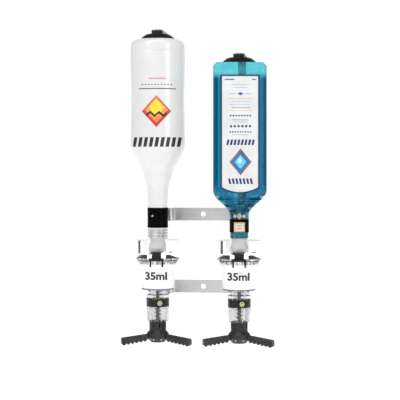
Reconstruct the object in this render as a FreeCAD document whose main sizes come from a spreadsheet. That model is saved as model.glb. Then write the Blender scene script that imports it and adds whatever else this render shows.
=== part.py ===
import FreeCAD, Part
import math
import os
import re
import Sketcher

# Two station wall optic: each station holds one upturned bottle over a push up measure.
# Millimetres, +Z up, +Y towards the wall, front towards -Y.
# The origin is midway between the two wall screw holes, on the wall plane.

SIZES = [
    # Wall strips
    ("station_spacing", 114.0, "between the two bottle axes"),
    ("station_lift", 4.0, "stations above the middle of the strips"),
    ("screw_spacing", 104.0, "between the wall screw holes"),
    ("screw_hole", 3.6, "radius of a wall screw hole"),
    ("strip_height", 18.4, "height of a wall strip"),
    ("strip_metal", 2.0, "thickness of a wall strip"),
    ("strip_flat", 89.0, "length of the part on the wall"),
    ("strip_step", 20.0, "how far the end tabs stand forward"),
    ("strip_end", 67.0, "end of a tab from the middle"),
    ("bend_radius", 1.5, "inside radius of a bend"),
    # Rails
    ("rail_width", 15.0, "outside width of a rail"),
    ("rail_depth", 5.0, "front to back of a rail"),
    ("rail_metal", 1.2, "sheet of a rail"),
    ("rail_lip", 3.0, "lip turned in at the back"),
    ("rail_over", 2.0, "rail beyond the strips at each end"),
    # Masts
    ("mast_width", 11.4, "width of the sliding mast"),
    ("mast_metal", 1.5, "thickness of the mast"),
    ("mast_gap", 0.3, "mast to the lips of its rail"),
    ("mast_length", 320.0, "mast from its foot to the arm"),
    ("arm_width", 15.4, "width of the top arm"),
    ("arm_thick", 4.4, "thickness of the top arm"),
    ("arm_nose", 8.0, "arm beyond the bottle axis"),
    ("arm_back", 3.4, "arm behind the mast"),
    ("arm_socket", 14.0, "socket of the arm below its top"),
    ("arm_front", 2.2, "socket in front of the mast"),
    ("pad_radius", 23.5, "radius of the dome pad"),
    ("pad_dome", 7.0, "height of the dome"),
    ("pad_rim", 1.2, "straight rim of the dome"),
    ("face_radius", 20.0, "radius of the rubber face"),
    ("face_thick", 1.4, "thickness of the rubber face"),
    ("face_sunk", 0.8, "rubber face let into the pad"),
    ("pad_gap", 0.3, "rubber face above the bottle"),
    # Mast springs
    ("pull_radius", 3.4, "middle radius of a mast spring"),
    ("pull_wire", 0.55, "wire radius of a mast spring"),
    ("pull_low", -38.0, "lower end of a mast spring"),
    ("pull_high", -12.0, "upper end of a mast spring"),
    ("pull_behind", 6.5, "mast spring axis behind the strip tabs"),
    ("hook_metal", 1.5, "sheet of the spring brackets"),
    ("hook_width", 7.0, "width of the spring brackets"),
    ("hook_leg", 13.0, "upright leg of a spring bracket"),
    ("hook_reach", 5.0, "bracket beyond the spring axis"),
    ("peg_length", 6.0, "peg inside the spring end"),
    ("peg_gap", 0.3, "peg to the spring"),
    # Holders
    ("holder_radius", 33.5, "outside radius of a holder"),
    ("holder_wall", 2.5, "wall of a holder"),
    ("holder_top", 14.0, "top of a holder"),
    ("holder_low", -9.3, "bottom of a holder"),
    ("holder_mouth", 32.0, "front opening of a holder"),
    ("fork_slot", 18.8, "slot that takes the neck"),
    ("fork_thick", 2.6, "thickness of the fork plate"),
    ("arch_gap", 0.5, "front wall above the lid"),
    ("boss_width", 14.0, "boss between holder and rail"),
    ("boss_height", 16.0, "height of that boss"),
    ("holder_screw", 2.0, "shank radius of a holder screw"),
    ("screw_fit", 0.1, "hole round a screw shank"),
    ("holder_screw_gap", 8.0, "between the holder screws"),
    ("catch_width", 3.7, "width of the catch spring"),
    ("catch_metal", 1.5, "thickness of the catch spring"),
    ("catch_side", 22.0, "catch from the middle of the holder"),
    ("catch_low", -3.6, "lower end of the catch"),
    # Bottles
    ("neck_bore", 9.5, "bore of both bottle necks"),
    ("lip_level", 17.3, "level of both bottle mouths"),
    ("glass_wall", 3.0, "glass of the bottle walls"),
    ("round_base", 293.0, "base of the round bottle"),
    ("round_radius", 38.5, "widest radius of the round bottle"),
    ("round_waist", 37.0, "radius at its waist"),
    ("round_foot", 27.0, "radius of its flat base"),
    ("round_high", 265.0, "upper widest level"),
    ("round_mid", 209.0, "level of the waist"),
    ("round_shoulder", 142.0, "level where the shoulder starts"),
    ("round_slope_radius", 21.0, "radius half way down the shoulder"),
    ("round_slope", 109.0, "level half way down the shoulder"),
    ("round_throat_radius", 15.0, "radius at the end of the shoulder"),
    ("round_throat", 88.0, "level at the end of the shoulder"),
    ("round_neck", 13.6, "outside radius of the neck"),
    ("square_base", 259.0, "base of the square bottle"),
    ("square_half", 36.7, "half width of the square bottle"),
    ("square_deep", 31.0, "half depth of the square bottle"),
    ("square_corner", 8.0, "corner radius of the square bottle"),
    ("square_foot", 4.5, "bevel round its base"),
    ("square_shoulder", 78.0, "level where its shoulder starts"),
    ("square_fall", 70.2, "level half way down its shoulder"),
    ("square_fall_half", 29.7, "half width half way down the shoulder"),
    ("square_fall_deep", 25.9, "half depth half way down the shoulder"),
    ("square_slope_deep", 18.3, "half depth low on the shoulder"),
    ("square_slope_half", 19.3, "half width low on the shoulder"),
    ("square_slope", 60.7, "level low on the shoulder"),
    ("square_throat_half", 14.2, "half width above the neck"),
    ("square_throat", 54.0, "level above the neck"),
    ("square_neck", 12.6, "outside radius of its neck"),
    ("square_neck_top", 44.0, "level where the neck starts"),
    ("square_turn", 7.0, "square bottle turned about its axis"),
    ("bottle_clear", 1.5, "round bottle in front of its rail"),
    ("sleeve_wall", 0.8, "wall of the neck sleeve"),
    ("sleeve_fit", 0.1, "sleeve to the neck"),
    ("round_sleeve_low", 31.4, "lower edge of the round sleeve"),
    ("round_sleeve_high", 59.2, "upper edge of the round sleeve"),
    ("square_sleeve_low", 25.4, "lower edge of the square sleeve"),
    ("square_sleeve_high", 43.6, "upper edge of the square sleeve"),
    # Stopper and measure
    ("plug_radius", 9.3, "radius of the stopper plug"),
    ("plug_high", 44.0, "top of the plug in the neck"),
    ("cork_bore", 2.6, "bore of the stopper"),
    ("cork_lip", 11.1, "stopper radius at the bottle mouth"),
    ("cork_waist", 9.7, "stopper waist radius"),
    ("cork_waist_level", 13.0, "level of that waist"),
    ("cork_wide", 13.1, "widest stopper radius"),
    ("cork_wide_level", 3.0, "level of the widest part"),
    ("cork_foot", 12.4, "stopper radius at its foot"),
    ("seat_level", -2.0, "stopper foot on the fork plate"),
    ("breather_high", 66.0, "top of the breather tube"),
    ("breather_radius", 2.4, "radius of the breather tube"),
    ("breather_bore", 1.5, "bore of the breather tube"),
    ("lid_neck", 9.0, "radius of the lid neck"),
    ("lid_gap", 0.3, "lid dome under the fork plate"),
    ("lid_bend_radius", 20.0, "radius where the dome falls away"),
    ("lid_bend", -5.9, "level where the dome falls away"),
    ("lid_radius", 30.6, "radius of the lid rim"),
    ("lid_rim", -10.8, "top of the lid rim"),
    ("lid_foot", -12.8, "bottom of the lid rim"),
    ("lid_skin", 1.6, "wall of the lid"),
    ("key_width", 11.6, "width of the black key in front of the neck"),
    ("key_back", 24.3, "back of the deep part of the key"),
    ("key_reach", 27.6, "front of the key from the axis"),
    ("leg_width", 2.4, "width of a clip leg of the lid"),
    ("leg_gap", 0.6, "leg in front of the cup rim"),
    ("leg_low", -21.8, "lower end of a clip leg"),
    ("lug_width", 13.8, "width of the white lug on the cup"),
    ("lug_low", -21.3, "lower end of the lug"),
    ("lug_reach", 29.0, "front of the lug from the axis"),
    ("measure_turn", 4.5, "measure turned in the fork"),
    ("window_width", 6.2, "width of a window in the lid"),
    ("window_side", 9.6, "window from the middle"),
    ("window_reach", 27.5, "front of a window from the axis"),
    ("housing_radius", 24.0, "radius of the valve housing"),
    ("housing_skin", 1.6, "plate of the valve housing"),
    ("housing_drop", 2.2, "valve housing under the lid"),
    ("housing_spigot", 8.0, "spigot under the valve housing"),
    ("gasket_thick", 1.0, "gasket between lid and cup"),
    ("cup_rim", 27.6, "radius of the cup rim"),
    ("cup_rim_high", 2.4, "height of the cup rim"),
    ("cup_top", 26.5, "radius of the cup at its top"),
    ("cup_low", 22.5, "radius of the cup at its floor"),
    ("cup_floor", -54.8, "underside of the cup floor"),
    ("cup_wall", 1.8, "wall of the cup"),
    ("cup_outlet", 6.0, "outlet in the cup floor"),
    ("spout_top", 12.9, "radius of the ring under the cup"),
    ("spout_step", -61.0, "where the spout widens"),
    ("spout_radius", 16.0, "outside radius of the spout"),
    ("spout_end", -67.5, "where the band starts"),
    ("spout_inner", 13.4, "spout inside the band"),
    ("spout_foot", -78.3, "bottom of the spout"),
    ("spout_bore", 9.0, "bore of the spout"),
    ("band_radius", 16.1, "radius of the black band"),
    ("band_fit", 0.1, "band to the spout"),
    ("skirt_top", 16.0, "skirt radius at its top"),
    ("skirt_low", 14.4, "skirt radius at its bottom"),
    ("skirt_end", -98.7, "bottom of the skirt"),
    ("skirt_wall", 1.5, "wall of the skirt"),
    ("skirt_ledge", 9.6, "bore of the skirt ledge"),
    ("skirt_rib", 0.5, "how far a skirt rib stands out"),
    ("skirt_rib_width", 1.2, "width of a skirt rib"),
    # Push up hub
    ("push_travel", 8.0, "how far the hub pushes up"),
    ("hub_radius", 11.8, "radius of the hub"),
    ("hub_top", -98.2, "top of the hub"),
    ("hub_bore", 9.3, "bore of the hub crown"),
    ("hub_seat", -108.5, "floor of the hub crown"),
    ("hub_flare_level", -111.8, "where the hub flares"),
    ("hub_flare", 15.4, "radius of the flared hub"),
    ("hub_flare_low", -115.6, "end of the flare"),
    ("hub_side_low", -121.5, "where the rounded bottom starts"),
    ("hub_floor", -128.0, "bottom of the hub"),
    ("hub_floor_radius", 10.0, "flat of the hub bottom"),
    ("spout_hole", 4.0, "radius of the pouring hole"),
    ("crown_slot", 2.5, "width of a crown slot"),
    ("crown_slot_deep", 8.6, "depth of a crown slot"),
    ("arm_tip", 52.0, "arm tip from the hub axis"),
    ("arm_sweep", 22.0, "arms swept forward"),
    ("arm_droop", 0.115, "fall of an arm over its length"),
    ("arm_root_level", -114.6, "top of an arm at the axis"),
    ("arm_bar", 8.0, "front to back of an arm"),
    ("arm_deep", 9.3, "depth of an arm with its teeth"),
    ("arm_spread", 0.03, "how an arm deepens along its length"),
    ("arm_round", 3.0, "rounding along the top of an arm"),
    ("tooth_pitch", 5.9, "pitch of the teeth"),
    ("tooth_deep", 2.4, "depth of the teeth"),
    ("tooth_start", 16.2, "first tooth from the axis"),
    # Valve spindle
    ("rod_radius", 2.4, "radius of the spindle"),
    ("rod_over", 2.0, "spindle above the upper seal"),
    ("valve_radius", 8.0, "radius of a valve seal"),
    ("valve_thick", 2.0, "thickness of a valve seal"),
    ("valve_clear", 0.4, "upper seal to the spigot, pushed up"),
    ("ring_groove", 0.6, "groove round the hub under its crown"),
    ("flute_width", 1.8, "width of a flute on the hub"),
    ("flute_deep", 0.7, "depth of a flute on the hub"),
    ("push_radius", 3.9, "middle radius of a return spring"),
    ("push_wire", 0.6, "wire radius of a return spring"),
    ("push_clear", 0.3, "return spring end to its seat"),
]

PULL_TURNS = 6
PUSH_TURNS = 5
TEETH = 6
CROWN_SLOTS = 8
SKIRT_RIBS = 10

doc = FreeCAD.newDocument("wall_optic")
sheet = doc.addObject("Spreadsheet::Sheet", "dims")
for row, (alias, number, note) in enumerate(SIZES, 1):
    sheet.set("A%d" % row, note)
    sheet.set("B%d" % row, str(number))
    sheet.setAlias("B%d" % row, alias)
doc.recompute()
NAMES = {alias for alias, number, note in SIZES}
DERIVED = {
    "axis_depth": "strip_step + rail_depth + bottle_clear + round_radius",
    "pull_back": "axis_depth - strip_step + pull_behind",
    "lid_apex": "seat_level - fork_thick - lid_gap",
    "housing_top": "lid_bend - lid_skin - housing_drop",
    "upper_valve_level": (
        "housing_top - housing_spigot - push_travel - valve_clear - valve_thick"
    ),
    "rod_top": "upper_valve_level + valve_thick + rod_over",
    "holder_middle": "(holder_top + seat_level) / 2",
    "rail_face": "axis_depth - strip_step - rail_depth",
    "mast_back": "axis_depth - strip_step - rail_metal - mast_gap",
    "arm_under": "pad_gap + face_thick - face_sunk + pad_rim + pad_dome",
}
UPRIGHT_TURN = FreeCAD.Rotation(FreeCAD.Vector(0, 0, 1), 1.0)
pieces = []


def bound(text):
    """An expression on the sheet from text that uses its names and the derived ones."""
    def swap(word):
        if word[0] in DERIVED:
            return "(%s)" % bound(DERIVED[word[0]])
        return "dims." + word[0] if word[0] in NAMES else word[0]
    return re.sub(r"[a-z_]+", swap, str(text))


def value(text):
    """The number that such text stands for."""
    return float(sheet.evalExpression(bound(text)))


def new_body(name, across="0", depth="0", height="0", turn=None):
    """A body with its own name and place."""
    body = doc.addObject("PartDesign::Body", name)
    body.Label = name
    for letter, text in (("x", across), ("y", depth), ("z", height)):
        body.setExpression("Placement.Base." + letter, bound(text))
    if turn is not None:
        body.Placement = FreeCAD.Placement(body.Placement.Base, UPRIGHT_TURN)
        body.setExpression("Placement.Rotation.Angle", bound(turn))
    pieces.append(body)
    return body


def new_sketch(body, name, plane, lift=None, turn=None):
    """A sketch on one of the body's own planes, lifted along it or turned about its upright."""
    sketch = body.newObject("Sketcher::SketchObject", name)
    origin_plane = [item for item in body.Origin.OriginFeatures if item.Role == plane][0]
    sketch.AttachmentSupport = (origin_plane, [""])
    sketch.MapMode = "FlatFace"
    if turn is not None:
        sketch.AttachmentOffset = FreeCAD.Placement(
            FreeCAD.Vector(), FreeCAD.Rotation(FreeCAD.Vector(0, 1, 0), 1.0)
        )
        sketch.setExpression("AttachmentOffset.Rotation.Angle", bound(turn))
    if lift is not None:
        sketch.setExpression("AttachmentOffset.Base.z", bound(lift))
    return sketch


def hold(sketch, kind, first, second, text):
    """A dimension from the sketch origin, tied to the sheet."""
    index = sketch.addConstraint(Sketcher.Constraint(kind, -1, 1, first, second, value(text)))
    sketch.setExpression("Constraints[%d]" % index, bound(text))


def draw_loop(sketch, corners):
    """A closed outline; each corner is (across, up) or (across, up, radius)."""
    count = len(corners)
    spots = [FreeCAD.Vector(value(corner[0]), value(corner[1]), 0) for corner in corners]
    arrive, leave, rounds = [], [], []
    for index, corner in enumerate(corners):
        spot = spots[index]
        back = (spots[index - 1] - spot).normalize()
        ahead = (spots[(index + 1) % count] - spot).normalize()
        if len(corner) < 3:
            arrive.append(spot)
            leave.append(spot)
            rounds.append(None)
            continue
        radius = value(corner[2])
        half = back.getAngle(ahead) / 2
        arrive.append(spot + back * (radius / math.tan(half)))
        leave.append(spot + ahead * (radius / math.tan(half)))
        centre = spot + (back + ahead).normalize() * (radius / math.sin(half))
        rounds.append((centre, radius, back.cross(ahead).z < 0))
    lines = []
    for index in range(count):
        segment = Part.LineSegment(leave[index], arrive[(index + 1) % count])
        lines.append(sketch.addGeometry(segment, False))
    for index, corner in enumerate(corners):
        before = lines[index - 1]
        after = lines[index]
        if rounds[index] is None:
            sketch.addConstraint(Sketcher.Constraint("Coincident", before, 2, after, 1))
            hold(sketch, "DistanceX", after, 1, corner[0])
            hold(sketch, "DistanceY", after, 1, corner[1])
            continue
        centre, radius, leftward = rounds[index]
        start, stop = (arrive[index], leave[index]) if leftward else (leave[index], arrive[index])
        circle = Part.Circle(centre, FreeCAD.Vector(0, 0, 1), radius)
        begin = math.atan2(start.y - centre.y, start.x - centre.x)
        finish = math.atan2(stop.y - centre.y, stop.x - centre.x)
        if finish < begin:
            finish += 2 * math.pi
        arc = sketch.addGeometry(Part.ArcOfCircle(circle, begin, finish), False)
        first, last = (1, 2) if leftward else (2, 1)
        sketch.addConstraint(Sketcher.Constraint("Tangent", before, 2, arc, first))
        sketch.addConstraint(Sketcher.Constraint("Tangent", arc, last, after, 1))
        index_radius = sketch.addConstraint(Sketcher.Constraint("Radius", arc, radius))
        sketch.setExpression("Constraints[%d]" % index_radius, bound(corner[2]))
        point = sketch.addGeometry(Part.Point(spots[index]), True)
        sketch.addConstraint(Sketcher.Constraint("PointOnObject", point, 1, before))
        sketch.addConstraint(Sketcher.Constraint("PointOnObject", point, 1, after))
        hold(sketch, "DistanceX", point, 1, corner[0])
        hold(sketch, "DistanceY", point, 1, corner[1])


def draw_circle(sketch, across, up, radius):
    """A circle placed and sized from the sheet."""
    middle = FreeCAD.Vector(value(across), value(up), 0)
    circle = sketch.addGeometry(Part.Circle(middle, FreeCAD.Vector(0, 0, 1), value(radius)), False)
    hold(sketch, "DistanceX", circle, 3, across)
    hold(sketch, "DistanceY", circle, 3, up)
    index = sketch.addConstraint(Sketcher.Constraint("Radius", circle, value(radius)))
    sketch.setExpression("Constraints[%d]" % index, bound(radius))


def box_corners(low_across, low_up, high_across, high_up):
    """The four corners of a rectangle."""
    return [
        (low_across, low_up), (high_across, low_up), (high_across, high_up), (low_across, high_up)
    ]


def revolve(body, corners, name="turned"):
    """A turned form from an outline of (radius, level) corners."""
    sketch = new_sketch(body, body.Name + "_" + name, "XZ_Plane")
    draw_loop(sketch, corners)
    form = body.newObject("PartDesign::Revolution", body.Name + "_" + name + "_form")
    form.Profile = sketch
    form.ReferenceAxis = (sketch, ["V_Axis"])
    form.Angle = 360
    doc.recompute()
    return form


def extrude(body, sketch, length, kind="Pad", middle=False, reverse=False):
    """A pad or pocket of a sketch, checked for a change of volume."""
    before = body.Shape.Volume if body.Tip else 0.0
    form = body.newObject("PartDesign::" + kind, sketch.Name + "_" + kind.lower())
    form.Profile = sketch
    form.setExpression("Length", bound(length))
    form.Midplane = middle
    form.Reversed = reverse
    doc.recompute()
    change = body.Shape.Volume - before
    if (kind == "Pad") != (change > 0) or abs(change) < 1e-6:
        raise RuntimeError("%s changed the volume by %.3f" % (form.Name, change))
    return form


def pattern(body, form, count, axis_name="Z_Axis"):
    """Copies of one feature round the upright axis."""
    polar = body.newObject("PartDesign::PolarPattern", form.Name + "_ring")
    polar.Originals = [form]
    polar.Axis = ([item for item in body.Origin.OriginFeatures if item.Role == axis_name][0], [""])
    polar.Angle = 360
    polar.Occurrences = count
    body.Tip = polar
    doc.recompute()
    return polar


def wall_strip(name, level):
    """A steel strip with its middle on the wall and its end tabs set forward."""
    body = new_body(name, height=level)
    outer_bend = "bend_radius + strip_metal"
    half = "strip_flat / 2"
    sketch = new_sketch(body, name + "_path", "XY_Plane", lift="-strip_height / 2")
    draw_loop(sketch, [
        ("-(%s)" % half, "0", outer_bend),
        ("-(%s)" % half, "strip_metal - strip_step", "bend_radius"),
        ("-strip_end", "strip_metal - strip_step"),
        ("-strip_end", "-strip_step"),
        ("-(%s) + strip_metal" % half, "-strip_step", outer_bend),
        ("-(%s) + strip_metal" % half, "-strip_metal", "bend_radius"),
        ("%s - strip_metal" % half, "-strip_metal", "bend_radius"),
        ("%s - strip_metal" % half, "-strip_step", outer_bend),
        ("strip_end", "-strip_step"),
        ("strip_end", "strip_metal - strip_step"),
        (half, "strip_metal - strip_step", "bend_radius"),
        (half, "0", outer_bend),
    ])
    extrude(body, sketch, "strip_height")
    hole = new_sketch(body, name + "_hole", "XZ_Plane")
    draw_circle(hole, "0", "0", "screw_hole")
    extrude(body, hole, "strip_metal * 4", "Pocket", middle=True)


def rail(side, across):
    """A channel that is open to the back and carries the mast and the holder."""
    name = side + "_rail"
    body = new_body(name, across, "-strip_step")
    reach = "rail_over + screw_spacing / 2 + strip_height / 2"
    sketch = new_sketch(body, name + "_section", "XY_Plane", lift="-(%s)" % reach)
    draw_loop(sketch, [
        ("-rail_width / 2", "-rail_depth", "rail_metal"),
        ("rail_width / 2", "-rail_depth", "rail_metal"),
        ("rail_width / 2", "0"),
        ("rail_width / 2 - rail_lip", "0"),
        ("rail_width / 2 - rail_lip", "-rail_metal"),
        ("rail_width / 2 - rail_metal", "-rail_metal"),
        ("rail_width / 2 - rail_metal", "rail_metal - rail_depth"),
        ("rail_metal - rail_width / 2", "rail_metal - rail_depth"),
        ("rail_metal - rail_width / 2", "-rail_metal"),
        ("rail_lip - rail_width / 2", "-rail_metal"),
        ("rail_lip - rail_width / 2", "0"),
        ("-rail_width / 2", "0"),
    ])
    extrude(body, sketch, "2 * (%s)" % reach)
    holes = new_sketch(body, name + "_holes", "XZ_Plane", lift="rail_depth - rail_metal * 2")
    for level in ("holder_screw_gap / 2", "-holder_screw_gap / 2"):
        draw_circle(holes, "0", "%s + holder_middle + station_lift" % level, "holder_screw + screw_fit")
    extrude(body, holes, "rail_metal * 3", "Pocket", reverse=True)


def holder(side, across):
    """A white C shaped cup with a fork plate that carries the measure by its neck."""
    name = side + "_holder"
    body = new_body(name, across, "-axis_depth", "station_lift")
    inner = "holder_radius - holder_wall"
    revolve(body, [
        ("fork_slot / 2", "seat_level"),
        ("fork_slot / 2", "seat_level - fork_thick"),
        (inner, "seat_level - fork_thick"),
        (inner, "holder_low"),
        ("holder_radius", "holder_low"),
        ("holder_radius", "holder_top", "1"),
        (inner, "holder_top", "1"),
        (inner, "seat_level"),
    ])
    boss = new_sketch(body, name + "_boss", "XZ_Plane", lift="-rail_face")
    draw_loop(boss, box_corners(
        "-boss_width / 2", "holder_middle - boss_height / 2",
        "boss_width / 2", "holder_middle + boss_height / 2",
    ))
    extrude(body, boss, "rail_face - holder_radius + holder_wall * 0.9")
    mouth = new_sketch(body, name + "_mouth", "XZ_Plane")
    draw_loop(mouth, box_corners(
        "-holder_mouth / 2", "seat_level", "holder_mouth / 2", "holder_top + 1",
    ))
    extrude(body, mouth, "holder_radius + 1", "Pocket", reverse=True)
    slot = new_sketch(body, name + "_slot", "XZ_Plane")
    draw_loop(slot, box_corners(
        "-fork_slot / 2", "holder_low - 1", "fork_slot / 2", "seat_level + 1",
    ))
    extrude(body, slot, "holder_radius + 1", "Pocket", reverse=True)
    arch = new_sketch(body, name + "_arch", "XZ_Plane")
    draw_loop(arch, [
        ("-(%s)" % inner, "holder_low - 1"),
        (inner, "holder_low - 1"),
        (inner, "lid_rim + arch_gap + 0.6"),
        ("lid_bend_radius + arch_gap", "seat_level - fork_thick"),
        ("-lid_bend_radius - arch_gap", "seat_level - fork_thick"),
        ("-(%s)" % inner, "lid_rim + arch_gap + 0.6"),
    ])
    extrude(body, arch, "holder_radius + 1", "Pocket", reverse=True)
    holes = new_sketch(body, name + "_holes", "XZ_Plane")
    for level in ("holder_screw_gap / 2", "-holder_screw_gap / 2"):
        draw_circle(holes, "0", "%s + holder_middle" % level, "holder_screw + screw_fit")
    extrude(body, holes, "axis_depth", "Pocket")
    notch = new_sketch(body, name + "_notch", "XZ_Plane")
    draw_loop(notch, box_corners(
        "-catch_side - catch_width / 2 - sleeve_fit", "catch_low",
        "-catch_side + catch_width / 2 + sleeve_fit", "holder_top + 1",
    ))
    extrude(body, notch, "holder_radius + 1", "Pocket", reverse=True)


def holder_screws(side, across):
    """Two pan head screws from inside the holder into the rail."""
    name = side + "_holder_screws"
    body = new_body(name, across, "-axis_depth", "station_lift")
    head_seat = "sqrt((holder_radius - holder_wall) * (holder_radius - holder_wall) - 16)"
    for tag, level in (("upper", "holder_screw_gap / 2"), ("lower", "-holder_screw_gap / 2")):
        height = level + " + holder_middle"
        shank = new_sketch(body, name + "_" + tag, "XZ_Plane", lift="-rail_face - 0.5")
        draw_circle(shank, "0", height, "holder_screw")
        extrude(body, shank, "rail_face + 0.5 - (%s)" % head_seat)
        head = new_sketch(body, name + "_" + tag + "_head", "XZ_Plane", lift="-(%s)" % head_seat)
        draw_circle(head, "0", height, "holder_screw * 1.9")
        extrude(body, head, "holder_screw")


def catch_spring(side, across):
    """A dark leaf let into the front wall of the holder."""
    name = side + "_catch"
    body = new_body(name, across, "-axis_depth", "station_lift")
    sketch = new_sketch(body, name + "_leaf", "XZ_Plane", lift="holder_radius * 0.62")
    draw_loop(sketch, box_corners(
        "-catch_side - catch_width / 2", "catch_low",
        "-catch_side + catch_width / 2", "holder_top + 0.3",
    ))
    extrude(body, sketch, "catch_metal")


def spring_anchor(side, across):
    """An angle on the lower strip with the peg that the mast spring stands on."""
    name = side + "_spring_anchor"
    body = new_body(name, across, "-axis_depth")
    shelf = "pull_low - push_clear"
    back = "axis_depth - strip_step + strip_metal"
    sketch = new_sketch(body, name + "_angle", "YZ_Plane", lift="-hook_width / 2")
    draw_loop(sketch, [
        (back, "%s - hook_leg" % shelf),
        ("%s + hook_metal" % back, "%s - hook_leg" % shelf),
        ("%s + hook_metal" % back, "%s - hook_metal" % shelf),
        ("pull_back + hook_reach", "%s - hook_metal" % shelf),
        ("pull_back + hook_reach", shelf),
        (back, shelf),
    ])
    extrude(body, sketch, "hook_width")
    peg = new_sketch(body, name + "_peg", "XY_Plane", lift=shelf)
    draw_circle(peg, "0", "pull_back", "pull_radius - pull_wire - peg_gap")
    extrude(body, peg, "peg_length")


def mast(side, across, base):
    """The flat mast that slides in the rail, with a foot at its lower end."""
    name = side + "_mast"
    body = new_body(name, across, "-axis_depth", "station_lift + %s + arm_under" % base)
    sketch = new_sketch(body, name + "_section", "XY_Plane", lift="-mast_length")
    draw_loop(sketch, box_corners(
        "-mast_width / 2", "mast_back - mast_metal", "mast_width / 2", "mast_back",
    ))
    extrude(body, sketch, "mast_length")


def top_arm(side, across, base):
    """The black arm over the bottle, with a socket for the head of the mast."""
    name = side + "_top_arm"
    body = new_body(name, across, "-axis_depth", "station_lift + %s + arm_under" % base)
    front = "mast_back - mast_metal - arm_front"
    sketch = new_sketch(body, name + "_side", "YZ_Plane", lift="-arm_width / 2")
    draw_loop(sketch, [
        ("-arm_nose", "0"),
        (front, "0", "2"),
        (front, "arm_thick - arm_socket"),
        ("mast_back + arm_back", "arm_thick - arm_socket"),
        ("mast_back + arm_back", "arm_thick", "3"),
        ("-arm_nose", "arm_thick", "1.5"),
    ])
    extrude(body, sketch, "arm_width")
    socket = new_sketch(body, name + "_socket", "XY_Plane", lift="arm_thick - arm_socket")
    draw_loop(socket, box_corners(
        "-mast_width / 2", "mast_back - mast_metal", "mast_width / 2", "mast_back",
    ))
    extrude(body, socket, "arm_socket - arm_thick", "Pocket", reverse=True)
    hole = new_sketch(body, name + "_hole", "XY_Plane")
    draw_circle(hole, "0", "0", "holder_screw + screw_fit")
    extrude(body, hole, "arm_thick", "Pocket", reverse=True)


def dome_pad(side, across, base):
    """The black dome that presses on the base of the bottle."""
    name = side + "_dome_pad"
    under = "station_lift + %s + pad_gap + face_thick - face_sunk" % base
    body = new_body(name, across, "-axis_depth", under)
    top = "pad_rim + pad_dome"
    revolve(body, [
        ("0", top),
        ("0", "face_sunk"),
        ("face_radius + 0.2", "face_sunk"),
        ("face_radius + 0.2", "0"),
        ("pad_radius", "0"),
        ("pad_radius", "pad_rim", "0.8"),
        ("pad_radius * 0.72", "%s - 1.2" % top, "14"),
        ("holder_screw * 2.4", top, "8"),
    ])


def rubber_face(side, across, base):
    """The soft face under the dome."""
    name = side + "_rubber_face"
    body = new_body(name, across, "-axis_depth", "station_lift + %s + pad_gap" % base)
    revolve(body, [
        ("0", "0"), ("face_radius", "0", "0.4"), ("face_radius", "face_thick"), ("0", "face_thick"),
    ])


def pad_screw(side, across, base):
    """The screw that holds the dome to the arm."""
    name = side + "_pad_screw"
    body = new_body(name, across, "-axis_depth", "station_lift + %s + arm_under + arm_thick" % base)
    revolve(body, [
        ("0", "-arm_thick"), ("holder_screw", "-arm_thick"), ("holder_screw", "0"),
        ("holder_screw * 1.9", "0"), ("holder_screw * 1.9", "holder_screw * 0.8", "0.8"),
        ("0", "holder_screw * 0.8"),
    ])


def mast_hook(side, across):
    """The angle on the mast with the peg for the upper end of its spring."""
    name = side + "_mast_hook"
    body = new_body(name, across, "-axis_depth")
    shelf = "pull_high + push_clear"
    sketch = new_sketch(body, name + "_angle", "YZ_Plane", lift="-hook_width / 2")
    draw_loop(sketch, [
        ("mast_back", "%s - hook_leg" % shelf),
        ("mast_back + hook_metal", "%s - hook_leg" % shelf),
        ("mast_back + hook_metal", shelf),
        ("pull_back + hook_reach", shelf),
        ("pull_back + hook_reach", "%s + hook_metal" % shelf),
        ("mast_back", "%s + hook_metal" % shelf),
    ])
    extrude(body, sketch, "hook_width")
    peg = new_sketch(body, name + "_peg", "XY_Plane", lift=shelf)
    draw_circle(peg, "0", "pull_back", "pull_radius - pull_wire - peg_gap")
    extrude(body, peg, "peg_length", reverse=True)


def half_way(first, direction, last, reach):
    """The middle point of the arc that leaves first along direction and ends at last."""
    corner = first + direction * reach
    chord = (first + last) * 0.5
    half = (last - first).Length / 2
    bend = math.acos(min(1.0, half / reach))
    radius = half / math.sin(bend)
    return chord + (corner - chord).normalize() * (radius * (1 - math.cos(bend)))


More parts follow.
